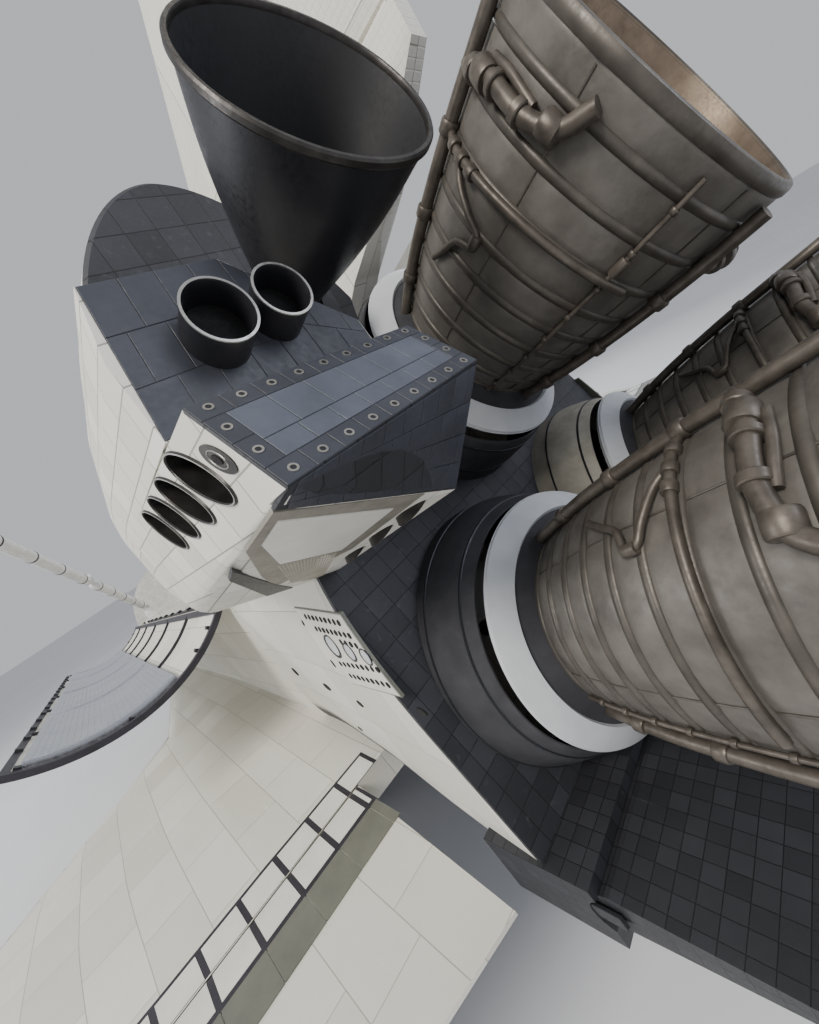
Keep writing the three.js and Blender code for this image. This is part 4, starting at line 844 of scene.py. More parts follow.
# The insulated skin swells by (1 - |2t - 1|^5) between the hat bands and (1 - |2t - 1|^7) between the seams.
def bellSkin(engine):
    edges = np.array([bell["skinFrom"]] + bell["bands"] + [160])
    s = np.unique(np.concatenate([np.linspace(a, b, 9) for a, b in zip(edges[:-1], edges[1:])]))
    turn = np.linspace(0, 2 * math.pi, bell["seams"] * 16, endpoint=False)
    cell = np.clip(np.searchsorted(edges, s, "right") - 1, 0, len(edges) - 2)
    lengthways = (s - edges[cell]) / (edges[cell + 1] - edges[cell])
    aroundways = (turn * bell["seams"] / (2 * math.pi)) % 1
    rise = bell["swell"] * (1 - np.abs(2 * lengthways - 1) ** 5)
    swell = rise[:, None] * (1 - np.abs(2 * aroundways - 1) ** 7)
    outer = onBell(engine, s[:, None], turn[None], swell)
    inner = onBell(engine, s[::-1, None], turn[None], -1.0)
    return grid(np.concatenate([outer, inner]), True, True)


# A band round the bell with a humped section: its rise is the root of 1 - t^2.
def bellHoop(engine, s, rise, width, sink=0.5):
    t = np.linspace(-1, 1, 11)
    radius = bellRadius(s + width * t) - sink + (rise + sink) * np.sqrt(np.maximum(0, 1 - t * t))
    return aboutEngine(engine, list(zip(radius, s + width * t)), 160, True)


def bellPipe(engine, stops, radius, lift=None, steps=10, sides=14):
    path = rounded([(s, math.radians(turn)) for s, turn in stops], steps)
    lift = radius + 1.1 if lift is None else lift
    return swept(onBell(engine, path[:, 0], path[:, 1], lift), radius, sides)


# A sleeve over a pipe, lying the way the bell's skin runs there.
def bellSleeve(engine, s, turn, radius, length, lift, along=True):
    turn = math.radians(turn)
    step = (length / 2, 0) if along else (0, length / 2 / (float(bellRadius(s)) + lift))
    ends = [onBell(engine, s + k * step[0], turn + k * step[1], lift) for k in (-1, 1)]
    reach = np.linalg.norm(ends[1] - ends[0])
    profile = [(radius * 0.9, 0), (radius, reach * 0.12), (radius, reach * 0.88), (radius * 0.9, reach)]
    return turned(profile, ends[0], ends[1] - ends[0], 24)


# The pipes on a bell. Each run has a radius and its stops: distance along the bell, and degrees past its feed
# pipe. A sleeve round the bell has distance, degrees, radius, length and lift.
coolant = {
    "turns": [0, 120, 240],
    "runs": [
        (2.0, [(64, 6), (72, 3), (90, 0), (120, 0), (145, 0), (157, -1)]),
        (2.1, [(141, 0), (142, 8), (144, 18), (144, 34), (147, 46), (154, 52)]),
        (1.1, [(147, 14), (147.5, 24), (146.5, 36)]),
        (1.25, [(128, 0), (127, 10), (127.5, 26), (128, 52), (128, 96)]),
        (1.05, [(127, 15), (123, 20), (119.5, 30), (117.5, 37), (114, 38), (111.5, 30), (106, 25),
                (101, 20)])],
    "couplings": [(84, 0, 2.7, 3.5, 3.1), (106, 0, 2.7, 3.5, 3.1), (128, 0, 2.7, 3.5, 3.1),
                  (115.5, 38, 1.7, 4, 2.2)],
    "bands": [(142, 7, 2.9, 3, 3.2), (143.4, 14, 3.3, 6, 3.2), (144, 21, 3.0, 2, 3.2),
              (144, 33, 2.9, 2.5, 3.2), (146.2, 44, 3.2, 5, 3.2), (127.2, 9, 1.9, 3, 2.4),
              (127.2, 17, 1.9, 3, 2.4), (127.2, 24, 1.9, 3, 2.4)],
    "drain": 0.7, "drainStops": [(66, 0), (80, 1), (120, 0), (156, 0)], "drainStep": 165,
}


# Three feed pipes run down each bell. From a tee near the rim a banded branch runs round the bell, a thinner
# pipe runs round further up, and a hooked pipe comes off that one.
def coolantPipes(engine):
    shapes = []
    for turn in coolant["turns"]:
        turn += engine["feed"]
        shapes += [bellPipe(engine, [(s, turn + a) for s, a in stops], radius)
                   for radius, stops in coolant["runs"]]
        for group, along in (("couplings", True), ("bands", False)):
            shapes += [bellSleeve(engine, s, turn + a, radius, length, lift, along)
                       for s, a, radius, length, lift in coolant[group]]
    return joined(*shapes)


# A thin straight drain pipe on either side, clamped at each hat band.
def drainPipes(engine):
    shapes = []
    for turn in (engine["drain"], engine["drain"] + coolant["drainStep"]):
        shapes.append(bellPipe(engine, [(s, turn + a) for s, a in coolant["drainStops"]], coolant["drain"]))
        shapes += [bellSleeve(engine, s - 2.4, turn, 1.1, 1.4, 1.8) for s in bell["bands"][1:]]
        shapes.append(bellSleeve(engine, 133, turn, 1.6, 5, 1.9))
    return joined(*shapes)


# The heat shield that turns with the engine: a ball-shaped pale ring, and a dark quilted cone inside it. Each
# is drawn as arcs about the engine's pivot: radius, from and to in degrees off the thrust line.
def shieldArc(radius, fromTurn, toTurn, steps):
    turn = np.radians(np.linspace(fromTurn, toTurn, steps))
    return list(zip(radius * np.sin(turn), radius * np.cos(turn)))


shieldRing = shieldArc(80.6, 29.6, 36.1, 14) + shieldArc(79.9, 36.6, 36.8, 2) + shieldArc(77.4, 36.8, 29, 10)
shieldCone = shieldArc(79.4, 20.6, 29.8, 14) + shieldArc(78.0, 29.8, 20.4, 10)
throat = [(17.5, 66)] + [(float(bellRadius(s, "inner")), s) for s in np.linspace(70, 134, 20)]
lining = [(float(bellRadius(s, "inner")) - 0.05, s) for s in np.linspace(133, 162, 12)]
seamTurns = np.arange(bell["seams"]) * 2 * math.pi / bell["seams"]
boltTurns = np.linspace(0, 2 * math.pi, 48, endpoint=False)[:, None]


# A thin wall: a profile, and the same one carried out by its thickness and back.
def thinWall(profile, thick):
    return profile + [(r + thick, s) for r, s in profile[::-1]]


for name, engine in engines.items():
    body = f"main_engine_{name}"
    level, up, line = across(aim(engine["pitch"], engine["yaw"]))
    makePiece(f"bell_skin_{name}", bellSkin(engine), "bellFoil", body, [body], smooth=50)
    ribs = [swept(onBell(engine, np.linspace(66, 158, 24), t, 0.15), 0.3, 6) for t in seamTurns]
    makePiece(f"bell_bands_{name}", joined(*[bellHoop(engine, s, 1.25, 1.7) for s in bell["bands"]], *ribs),
              "bellBand", body)
    makePiece(f"bell_pipes_{name}", coolantPipes(engine), "pipe", body)
    makePiece(f"bell_drains_{name}", drainPipes(engine), "pipe", body)
    rim = aboutEngine(engine, bell["rim"], 160, True)
    inside = joined(aboutEngine(engine, thinWall(throat, 0.4), 144, True),
                    aboutEngine(engine, bell["floor"], 96, True))
    collars = []
    for r, s in bell["collars"]:
        profile = [(r - 2.2, s - 1.8), (r + 0.8, s - 2.4), (r + 2.2, s - 1), (r + 2.2, s + 1),
                   (r + 0.8, s + 2.4), (r - 2.2, s + 1.8)]
        collars.append(aboutEngine(engine, profile, 96, True))
    powerhead = joined(aboutEngine(engine, bell["neck"], 96), *collars)
    boltRing = np.cos(boltTurns) * level + np.sin(boltTurns) * up
    bolts = studs(np.asarray(engine["at"]) + 66.7 * line + 42.2 * boltRing, line, 0.45, 0.35, 8)
    for part, shape, look, slot in (
            ("bell_rim", rim, "bellBand", "nozzle_metal"),
            ("bell_inside", inside, "bellInside", "nozzle_metal"),
            ("bell_lining", aboutEngine(engine, thinWall(lining, 0.5), 160, True), "exitLining",
             "nozzle_metal"),
            ("powerhead", powerhead, "darkMetal", "nozzle_metal"),
            ("shield_ring", aboutEngine(engine, shieldRing, 160, True), "paleRing", "tile_white"),
            ("shield_bolts", bolts, "darkMetal", "steel"),
            ("shield_cone", aboutEngine(engine, shieldCone, 144, True), "darkCone", "tile_black")):
        makePiece(f"{part}_{name}", shape, look, body)
print("engines ready")

# Manoeuvring pods: x, centre y, half width, bottom, top, height of the widest line, crown and belly powers.
pod = {
    "frames": [
        [1309, -84, 8, 450, 478, 464, 2, 2], [1325, -85, 23, 440, 496, 469, 2, 2],
        [1350, -87, 37, 434, 512, 473, 2, 2.2], [1390, -90, 48, 431, 527, 472, 2, 2.4],
        [1440, -92, 51, 430, 538, 468, 1.9, 2.6], [1490, -92, 53, 431, 545, 461, 1.85, 2.8],
        [1506, -92, 53, 433, 545, 458, 1.8, 3]],
    "nozzleAt": (1518, -88, 492), "pitch": 18.5, "yaw": -5.5, "exit": 53.3,
    "bell": [(3.5, 5), (8, 7), (16, 10.5), (27, 15.2), (40, 19.9), (54, 23.5)],
    "wall": [(14, 5), (18, 9.6), (27, 14.5), (40, 19.2), (53.4, 22.9)],
    "rim": [(22.8, 52.6), (23.5, 52.4), (23.9, 52.8), (24.0, 53.8), (23.7, 54.2), (23.0, 54.2), (22.75, 53.8)],
    "ball": [(0.1, -3), (2.1, -2.1), (3, 0), (3.2, 2), (5, 4), (7, 8), (7.2, 9), (0.1, 9)],
    "boot": [(17, -16), (16.5, -6), (15.5, 1), (14.8, 4.5), (13.4, 5.6), (11, 6.4), (9.4, 6.8), (9.2, 5.6),
             (12.8, 2.4), (13.6, 0.6), (14, -6), (14.5, -16)],
}
podStations = np.concatenate([np.linspace(1309, 1320, 8), np.linspace(1323, 1504.6, 56)])
podRings = frames(pod["frames"], podStations)
podEnd = frames(pod["frames"], [1506])
podEnd = podEnd + (podEnd - podEnd.mean(1, keepdims=True)) * np.array([0, -0.02, -0.02])
podRoom = [barrel(52, 10, 125, engines["top"]["at"], engines["top"]["pitch"] + t, 0)
           for t in (-engineRoot["travel"], 0, engineRoot["travel"])]
skinStops, wallStops = np.linspace(8, pod["exit"] - 0.1, 40), np.linspace(14, pod["exit"], 30)
podWall = between(pod["wall"], wallStops)[:, 0]
podInner = list(zip(podWall, wallStops))
podBell = list(zip(between(pod["bell"], skinStops)[:, 0], skinStops)) + [(23.0, pod["exit"] - 0.1)] + list(
    zip(podWall[::-1] + 0.3, wallStops[::-1])) + [(1, 13.6), (1, 8)]
podBody = tube(np.concatenate([podRings, podEnd]))


def aboutNozzle(profile, sides, closed=True):
    return turned(profile, pod["nozzleAt"], aim(pod["pitch"], pod["yaw"]), sides, closed)


for side, place in portDrawn:
    body = f"pod_nozzle_{side}"
    makePiece(f"pod_{side}", place(podBody), "pod", "airframe", [f"pod_{side}"],
              [place(tool) for tool in podRoom])
    makePiece(f"pod_bell_{side}", place(aboutNozzle(podBell, 144)), "podBell", body, [body])
    makePiece(f"pod_bell_inside_{side}", place(aboutNozzle(thinWall(podInner, 0.25), 128)), "bellInside",
              body)
    makePiece(f"pod_rim_{side}", place(aboutNozzle(pod["rim"], 144)), "rimDark", body)
    makePiece(f"pod_ball_{side}", place(aboutNozzle(pod["ball"], 64, False)), "darkMetal", body)
    makePiece(f"pod_boot_{side}", place(aboutNozzle(pod["boot"], 96)), "darkCone", "airframe")
print("pods ready")

# Thruster housings: a long tail box given by its outboard and inboard sides as (x, z) corners, and a block on
# top of it and a fairing in front, which are rows of x and the corners of a cross section there.
housing = {
    "outboard": -150, "inboard": -106,
    "tail": [[(1476, 435.6), (1570, 449), (1577, 450.2), (1566.5, 465.6), (1476, 466.2)],
             [(1476, 417.8), (1555.7, 430.4), (1577, 450.5), (1568, 463), (1476, 464)]],
    "block": [[1400, -141, 466, -141, 474, -132, 494, -118, 502, -100, 505],
              [1430, -145, 466, -144.5, 476, -136, 494, -120, 500, -100, 503],
              [1460, -148.4, 466, -147.4, 478, -141, 493, -121, 497.5, -100, 498],
              [1490, -149.9, 466.1, -149, 479, -144.2, 492, -121, 495, -100, 491],
              [1552, -150, 466.2, -149.3, 480, -145.5, 492.3, -121, 492.3, -100, 472.5]],
    "fairing": [[1400, -141, 449, 438], [1430, -145, 443.5, 431], [1455, -147.9, 438.5, 423],
                [1476, -149.5, 435.6, 417.8]],
    "sideJets": [1517.7, 1530, 1542.6, 1555.4], "sideZ": 459.2, "oval": (9.0, 3.3), "jetLean": 37,
    "vernier": (1566, 458.4), "downJets": [(0.84, 0.865), (0.86, 0.66), (0.875, 0.43)], "downOval": (5.4, 3.0),
    "upJets": [1516, 1529, 1542], "upY": -132,
    "aftJets": [((1559.5, -132, 479.4), 6.0), ((1559.5, -118.8, 479.8), 5.4)],
}


def housingPoint(part, corner, share):
    (x0, z0), (x1, z1) = housing[part][0][corner], housing[part][1][corner]
    y = housing["outboard"] + share * (housing["inboard"] - housing["outboard"])
    return np.array([x0 + share * (x1 - x0), y, z0 + share * (z1 - z0)])


# Four corners of a stretch of one face of the tail box. Its first share runs inboard and its second along the
# outline, so that its normal points outwards.
def facet(corner, along=(0, 1), inward=(0, 1)):
    ends = [[housingPoint("tail", corner, w), housingPoint("tail", (corner + 1) % 5, w)] for w in inward]
    pick = [[a + t * (b - a) for t in along] for a, b in ends]
    return [pick[0][0], pick[1][0], pick[1][1], pick[0][1]]


# The lower outboard edge is rounded off over the first few units of y, more so towards the front.
def tailBody():
    rings = []
    for share, lift in ((0, 6), (0.012, 3.6), (0.035, 1.7), (0.08, 0.4), (0.12, 0), (1, 0)):
        ring = np.array([housingPoint("tail", k, share) for k in range(5)])
        ring[0, 2] += lift
        ring[1, 2] += 0.16 * lift
        rings.append(ring)
    return tube(np.array(rings))


# Points of a face at shares (inward, along), lifted along its normal.
def onFacet(corners, u, v, lift=0.0):
    corners = np.asarray(corners, float)
    normal = np.cross(corners[2] - corners[0], corners[3] - corners[1])
    normal /= np.linalg.norm(normal)
    return spread(corners, np.asarray(u, float), np.asarray(v, float)) + lift * normal, normal


# A flat slab on a face: its outline given as shares of the face, with a small chamfer round its top.
def inlay(corners, shares, proud, root=0.6):
    shares = np.asarray(shares, float)
    inner = shares + 0.012 * (shares.mean(0) - shares)
    return tube(np.array([onFacet(corners, *shares.T, -root)[0], onFacet(corners, *shares.T, proud * 0.7)[0],
                          onFacet(corners, *inner.T, proud)[0]]))


def ovalTube(centre, axes, radii, wall, start, end, sides=64):
    turn = np.linspace(0, 2 * math.pi, sides, endpoint=False)
    first, second, out = (np.asarray(axis, float) for axis in axes)
    rings = []
    for w, s in ((wall, start), (wall, end - 0.25), (wall - 0.25, end), (0.2, end), (0, end - 0.2),
                 (0, start)):
        oval = np.cos(turn)[:, None] * (radii[0] + w) * first + np.sin(turn)[:, None] * (radii[1] + w) * second
        rings.append(np.asarray(centre, float) + s * out + oval)
    return grid(np.array(rings), True, True)


def ovalPlug(centre, axes, radii, start, end, sides=64):
    turn = np.linspace(0, 2 * math.pi, sides, endpoint=False)
    first, second, out = (np.asarray(axis, float) for axis in axes)
    return tube(np.array([np.asarray(centre, float) + s * out + np.cos(turn)[:, None] * radii[0] * first
                          + np.sin(turn)[:, None] * radii[1] * second for s in (start, end)]))


# Cross sections joined along x. The block's floor and the fairing's roof lie on one line and don't overlap.
blockX = np.concatenate([np.linspace(1400, 1490, 19), [1552]])
blockRows = between(housing["block"], blockX).reshape(-1, 5, 2)
blockRings = np.concatenate([np.tile([[[-100, 462.0], [-106, 464.2]]], (len(blockX), 1, 1)), blockRows], 1)
blockLean = np.where(blockX[:, None] > 1500, 0.092 * (465 - blockRings[:, :, 1]) + 1.5, 0)
blockShape = tube(np.concatenate([(blockX[:, None] + blockLean)[:, :, None], blockRings], 2))
fairingX = np.linspace(1400, 1476, 16)
y, low, inLow = between(housing["fairing"], fairingX).T
fairingRings = [[(-106, b), (-138, a), (c + 4.6, a + 0.3), (c + 1.6, a + 2.2), (c + 0.4, a + 4.2),
                 (c, a + 6.2), (c, 466), (-106, 464.2)] for c, a, b in zip(y, low, inLow)]
fairingShape = tube(np.concatenate([np.repeat(fairingX[:, None, None], 8, 1), np.array(fairingRings)], 2))

jetLean = math.radians(housing["jetLean"])
sideAxes = ((math.cos(jetLean), 0, -math.sin(jetLean)), (math.sin(jetLean), 0, math.cos(jetLean)), (0, -1, 0))
sideSpots = [(x, housing["outboard"], housing["sideZ"]) for x in housing["sideJets"]]
vernier = (housing["vernier"][0], housing["outboard"], housing["vernier"][1])
under, lowFacet, aftPanel = facet(0), facet(1), facet(2)
underNormal = onFacet(under, 0.5, 0.5)[1]
downSpots = [onFacet(under, u, v)[0] for u, v in housing["downJets"]]
downAxes = ((0.985, 0, 0.17), (0.07, 0.93, 0.36), underNormal)
stubLine = np.array([1, -0.05, 0.14]) / np.linalg.norm([1, -0.05, 0.14])
stubCuts = [turned([(r - 0.9, -6), (r - 0.9, 6)], at, stubLine, 48) for at, r in housing["aftJets"]]
upCuts = [turned([(4.7, 0), (4.7, 22)], (x, housing["upY"], 484), (0, 0, 1), 48) for x in housing["upJets"]]


# An oval of the side or the lower jets, a little wider or narrower than the jet itself.
def widened(oval, by):
    return housing[oval][0] + by, housing[oval][1] + by


sideCuts = [ovalPlug(spot, sideAxes, widened("oval", 0.3), -5.4, 3) for spot in sideSpots]
downCuts = [ovalPlug(spot, downAxes, widened("downOval", 0.2), -3.4, 3) for spot in downSpots]


def jetStub(at, radius):
    skin = [(radius - 0.75, -12), (radius - 0.2, -12), (radius - 0.15, -1.1), (radius, -0.9), (radius, -0.15),
            (radius - 0.15, 0), (radius - 0.45, 0), (radius - 0.6, -0.3), (radius - 0.75, -2)]
    return turned(skin, at, stubLine, 96, True)


stubs = joined(*[jetStub(*row) for row in housing["aftJets"]])
stubEdges = joined(*[turned([(r - 0.42, -0.2), (r + 0.02, -0.25), (r + 0.02, 0.06), (r - 0.42, 0.08)],
                            at, stubLine, 96, True) for at, r in housing["aftJets"]])
stubFloors = joined(*[turned([(0.1, -6), (r - 0.7, -6), (r - 0.7, -5.4), (0.1, -5.4)], at, stubLine, 48)
                      for at, r in housing["aftJets"]])
sideRims = joined(*[ovalTube(spot, sideAxes, housing["oval"], 0.6, -5.2, 0.3) for spot in sideSpots])
sideEdges = joined(*[ovalTube(spot, sideAxes, widened("oval", 0.2), 0.16, -0.2, 0.4) for spot in sideSpots])
sideFloors = joined(*[ovalPlug(spot, sideAxes, widened("oval", 0.2), -5.3, -4.6) for spot in sideSpots],
                    ovalPlug(vernier, sideAxes, (1.3, 0.65), -1, 0.34, 40))
vernierPad = ovalPlug(vernier, sideAxes, (4.2, 1.9), -0.5, 0.2, 56)
vernierRing = ovalTube(vernier, sideAxes, (2.2, 1.05), 0.35, -0.3, 0.32, 48)
downRims = joined(*[ovalTube(spot, downAxes, housing["downOval"], 0.5, -3.2, 0.45) for spot in downSpots])
downFloors = joined(*[ovalPlug(spot, downAxes, widened("downOval", 0.05), -3.2, -2.7) for spot in downSpots])
upSpots = [(x, housing["upY"], 493.9 - (x - 1490) * 0.025) for x in housing["upJets"]]
upRims = joined(*[turned([(4.5, -6), (5.1, -6), (5.1, 0.7), (4.9, 0.9), (4.5, 0.8)], spot, (0, 0, 1), 56, True)
                  for spot in upSpots])

# The sloping tail panel: border tiles with a ringed fastener in each, round a field of paler, staggered tiles.
# Dark slabs lie in the seams between the tiles.
borderRows = [(9, (0.0, 0.2), (0.0, 1.0)), (9, (0.8, 1.0), (0.0, 1.0))]
borderEnds = [(1, along, inward) for inward in ((0.0, 0.075), (0.93, 1.0))
              for along in ((0.2, 0.5), (0.5, 0.8))]
borders = joined(*[tiles(facet(2, along, inward), columns, 1, 0.3, 0.16)
                   for columns, along, inward in borderRows + borderEnds])
field = joined(tiles(facet(2, (0.2, 0.42), (0.075, 0.93)), 7, 1, 0.3, 0.14),
               tiles(facet(2, (0.42, 0.8), (0.075, 0.93)), 6, 1, 0.3, 0.14))
spotU = np.concatenate([(np.arange(9) + 0.5) / 9, (np.arange(9) + 0.5) / 9, [0.037, 0.037, 0.965, 0.965]])
spotV = np.concatenate([np.full(9, 0.09), np.full(9, 0.91), [0.36, 0.66, 0.36, 0.66]])
fastenerSpots, panelNormal = onFacet(aftPanel, spotU, spotV, 0.28)
washer = [(0.42, 0), (0.72, 0), (0.72, 0.12), (0.42, 0.12)]
fastenerRings = joined(*[turned(washer, spot, panelNormal, 20, True) for spot in fastenerSpots])
fastenerHeads = studs(fastenerSpots, panelNormal, 0.42, 0.08, 12)
wholeFace = [(0, 0), (1, 0), (1, 1), (0, 1)]
panelSlab = inlay(aftPanel, wholeFace, 0.22)
lowSlab = inlay(lowFacet, wholeFace, 0.12)
lowTiles = tiles(facet(1, (0.02, 0.985), (0.04, 0.995)), 9, 4, 0.22, 0.14, 0.5)
outerFace = [(1553.3, -149.9, 466.4), (1553.3, -121, 466.4), (1551.1, -121, 492.2), (1551.1, -145.3, 492.2)]
innerFace = [(1553.3, -121, 466.4), (1553.3, -100.2, 466.4), (1552.8, -100.2, 472.6), (1551.1, -121, 492)]
aftTiles = joined(tiles(outerFace, 4, 3, 0.22, 0.14, 0.5), tiles(innerFace, 3, 2, 0.22, 0.14, 0.5))
aftSlab = joined(*[inlay(face, wholeFace, 0.1) for face in (outerFace, innerFace)])
frameShares = [(0.0, 0.995), (0.74, 0.995), (0.76, 0.53), (0.42, 0.2), (0.2, 0.5), (0.0, 0.8)]
underFrame = inlay(under, frameShares, 0.25)
underPanel = inlay(under, [(0.035, 0.96), (0.62, 0.925), (0.64, 0.575), (0.24, 0.61), (0.045, 0.83)], 0.5)
corrugated = onFacet(under, [0.24, 0.635, 0.9, 0.56], [0.585, 0.55, 0.03, 0.17])[0]
corrugation = joined(*[swept(onFacet(corrugated, np.full(3, t), np.linspace(0.0, 1.0, 3), 0.28)[0], 0.62, 8)
                       for t in (np.arange(18) + 0.5) / 18])
darkStrip = inlay(under, [(0.0, 0.66), (0.44, 0.22), (0.66, 0.005), (0.46, 0.005), (0.02, 0.56)], 0.35)

# Pieces of a housing beside its tail: name, shape, look, slot and what is cut from it.
housingParts = [
    ("housing_block", blockShape, "housing", "tile_black", stubCuts + upCuts),
    ("housing_fairing", fairingShape, "housing", "tile_black", []),
    ("housing_seam_slabs", joined(panelSlab, lowSlab), "blackTile", "tile_black", []),
    ("block_seam_slabs", aftSlab, "blackTile", "tile_black", stubCuts),
    ("block_aft_tiles", aftTiles, "greyTile", "tile_black", stubCuts),
    ("panel_border", borders, "greyTile", "tile_black", []),
    ("panel_field", field, "paleTile", "tile_black", []),
    ("panel_low_facet", lowTiles, "greyTile", "tile_black", []),
    ("fastener_rings", fastenerRings, "rimSteel", "steel", []),
    ("fastener_heads", fastenerHeads, "darkMetal", "steel", []),
    ("aft_jets", stubs, "podBell", "nozzle_metal", []),
    ("aft_jet_edges", stubEdges, "rimSteel", "nozzle_metal", []),
    ("aft_jet_floors", stubFloors, "paintedOpeningShade", "tile_black", []),
    ("side_jet_rims", sideRims, "rimDark", "nozzle_metal", []),
    ("side_jet_edges", sideEdges, "rimSteel", "nozzle_metal", []),
    ("side_jet_floors", sideFloors, "paintedOpeningShade", "tile_black", []),
    ("vernier_pad", vernierPad, "rimDark", "nozzle_metal", []),
    ("vernier_ring", vernierRing, "rimSteel", "nozzle_metal", []),
    ("down_jet_rims", downRims, "rimDark", "nozzle_metal", []),
    ("down_jet_floors", downFloors, "paintedOpeningShade", "tile_black", []),
    ("up_jet_rims", upRims, "rimDark", "nozzle_metal", []),
    ("under_frame", underFrame, "frameGrey", "tile_black", downCuts),
    ("under_panel", underPanel, "smoothWhite", "tile_white", []),
    ("under_corrugation", corrugation, "clothCone", "tile_white", []),
    ("under_dark_strip", darkStrip, "blackTile", "tile_black", []),
]
for side, place in portDrawn:
    makePiece(f"housing_tail_{side}", place(tailBody()), "housing", "airframe",
              [f"thruster_housing_{side}"], [place(tool) for tool in sideCuts + downCuts])
    for name, shape, look, slot, cuts in housingParts:
        makePiece(f"{name}_{side}", place(shape), look, "airframe", (), [place(tool) for tool in cuts])
print("housings ready")

# Fin, rudder shaft and the two rudder halves keep the solids' own shapes, with smooth shading.
smoothCopy("fin", "fin", "blanket", "airframe")
smoothCopy("rudder_shaft", "rudder_shaft", "darkMetal", "rudder_shaft")
for side in ("port", "starboard"):
    smoothCopy(f"rudder_half_{side}", f"rudder_half_{side}", "blanket", f"rudder_half_{side}")

# Wing stations: y, leading edge x and z, crown and keel heights. Each section runs over (share of chord, share
# of height) pairs, smoothed between them, to the elevon's cove.
wing = {
    "rows": [[98, 545, 290, 324, 268], [105, 545, 290, 324, 268], [140, 753, 290, 324, 269],
             [185, 1021, 291, 320, 272.5], [240, 1076, 294, 318, 278], [330, 1166, 301, 319, 287],
             [468, 1304, 310, 321, 301]],
    "section": [[0, 0], [0.008, 0.3], [0.03, 0.52], [0.1, 0.8], [0.3, 1], [0.62, 0.97]],
    "edges": [[140, 62], [185, 40], [240, 26], [330, 23], [468, 20]],
    "hingeX": 1387, "lip": 0.45, "coveGap": 0.5, "panelPitch": 16.4, "well": (1042, 1202, 110, 162),
}
# The flipper doors over the gap: stations of the row on the wing, of the row on the elevons and of the strip
# behind it, each in a dark frame.
flippers = {"wing": (1368.5, 1383.1), "wingFrame": (1366.5, 1383.2), "elevon": (1384.6, 1402.5),
            "elevonFrame": (1384.4, 1406), "strip": (1405.5, 1427), "spans": (114, 458), "pitch": 22.2}
elevons = {"inboard": (130, 312.4), "outboard": (314.6, 463.5)}


def hingeZ(y):
    return 279 + 0.0615 * y


def hingeHalf(y):
    return 10.2 - 0.0128 * y


# The section at one span station, at shares of its chord: x, upper z and lower z.
def wingSection(y, shares):
    rows = np.array(wing["rows"], float)
    lead, leadZ, top, bottom = (np.interp(y, rows[:, 0], rows[:, k]) for k in range(1, 5))
    back = wing["hingeX"] - wing["lip"] * hingeHalf(y)
    f, h = np.array(wing["section"]).T
    upper = np.append(leadZ + (top - leadZ) * h, hingeZ(y) + hingeHalf(y))
    lower = np.append(leadZ + (bottom - leadZ) * h, hingeZ(y) - hingeHalf(y))
    heights = between(np.column_stack([np.append(f, 1), upper, lower]), shares)
    return lead + (back - lead) * shares, heights[:, 0], heights[:, 1]


def edgeShare(y):
    rows = np.array(wing["rows"], float)
    lead = np.interp(y, rows[:, 0], rows[:, 1])
    depth = np.interp(y, *np.array(wing["edges"], float).T)
    return depth / (wing["hingeX"] - wing["lip"] * hingeHalf(y) - lead)


# A closed ring of one section between two shares of its chord: over the top and back underneath.
def wingRing(y, fromShare, toShare, count=40, out=0.0):
    shares = fromShare + (toShare - fromShare) * np.linspace(0, 1, count) ** 2
    x, upper, lower = wingSection(y, shares)
    return np.concatenate([np.stack([x, np.full(count, y), upper + out], 1),
                           np.stack([x, np.full(count, y), lower - out], 1)[::-1]])


mainSpans = np.unique(np.concatenate([np.linspace(98, 139.8, 8), np.linspace(140, 185, 12),
                                      np.linspace(185, 468, 40)]))
mainRings = np.array([wingRing(y, 0.0 if y < 140 else edgeShare(y) + 0.0005, 1.0) for y in mainSpans])
edgeSpans = np.linspace(140, 468, 90)
edgeRings = np.array([wingRing(y, 0.0, edgeShare(y), 24) for y in edgeSpans])
sealShapes = []
for y in np.arange(140 + wing["panelPitch"], 460, wing["panelPitch"]):
    rings = np.array([wingRing(y + k, 0.0, edgeShare(y + k), 24, out)
                      for k, out in ((-0.9, -0.2), (-0.8, 0.12), (0.8, 0.12), (0.9, -0.2))])
    sealShapes.append(tube(rings))
front, back, near, far = wing["well"]
wellCut = prism("z", [(front, near), (back, near), (back, far), (front, far)], 200, 302)


# The cove an elevon's nose turns in: a circle about the hinge line, carried along the span.
def coveRing(y):
    turn, radius = np.linspace(0, 2 * np.pi, 73)[:-1], hingeHalf(y) + wing["coveGap"]
    x, z = wing["hingeX"] + radius * np.cos(turn), hingeZ(y) + radius * np.sin(turn)
    return np.stack([x, 0 * turn + y, z], 1)


coveCuts = [tube(np.array([coveRing(y) for y in np.linspace(start - 0.7, end + 0.7, 9)]))
            for start, end in elevons.values()]


# Heights of the wing's upper skin.
def wingTop(x, y):
    shares = np.linspace(0.3, 1, 60)
    heights = [np.interp(a, *wingSection(b, shares)[:2]) for a, b in zip(np.ravel(x), np.ravel(y))]
    return np.array(heights).reshape(np.shape(x))


# An elevon's upper skin is flat behind the hinge line and follows the round nose in front of it.
def elevonTop(x, y):
    trailX, trailZ = 1525 - 0.1773 * y, 282.75 + 0.0615 * y + 0.9
    half, crest, ahead = hingeHalf(y), hingeZ(y) + hingeHalf(y), np.minimum(x - wing["hingeX"], 0)
    flat = crest + (trailZ - crest) * np.maximum(x - wing["hingeX"], 0) / (trailX - wing["hingeX"])
    return flat - half + np.sqrt(half**2 - ahead**2)


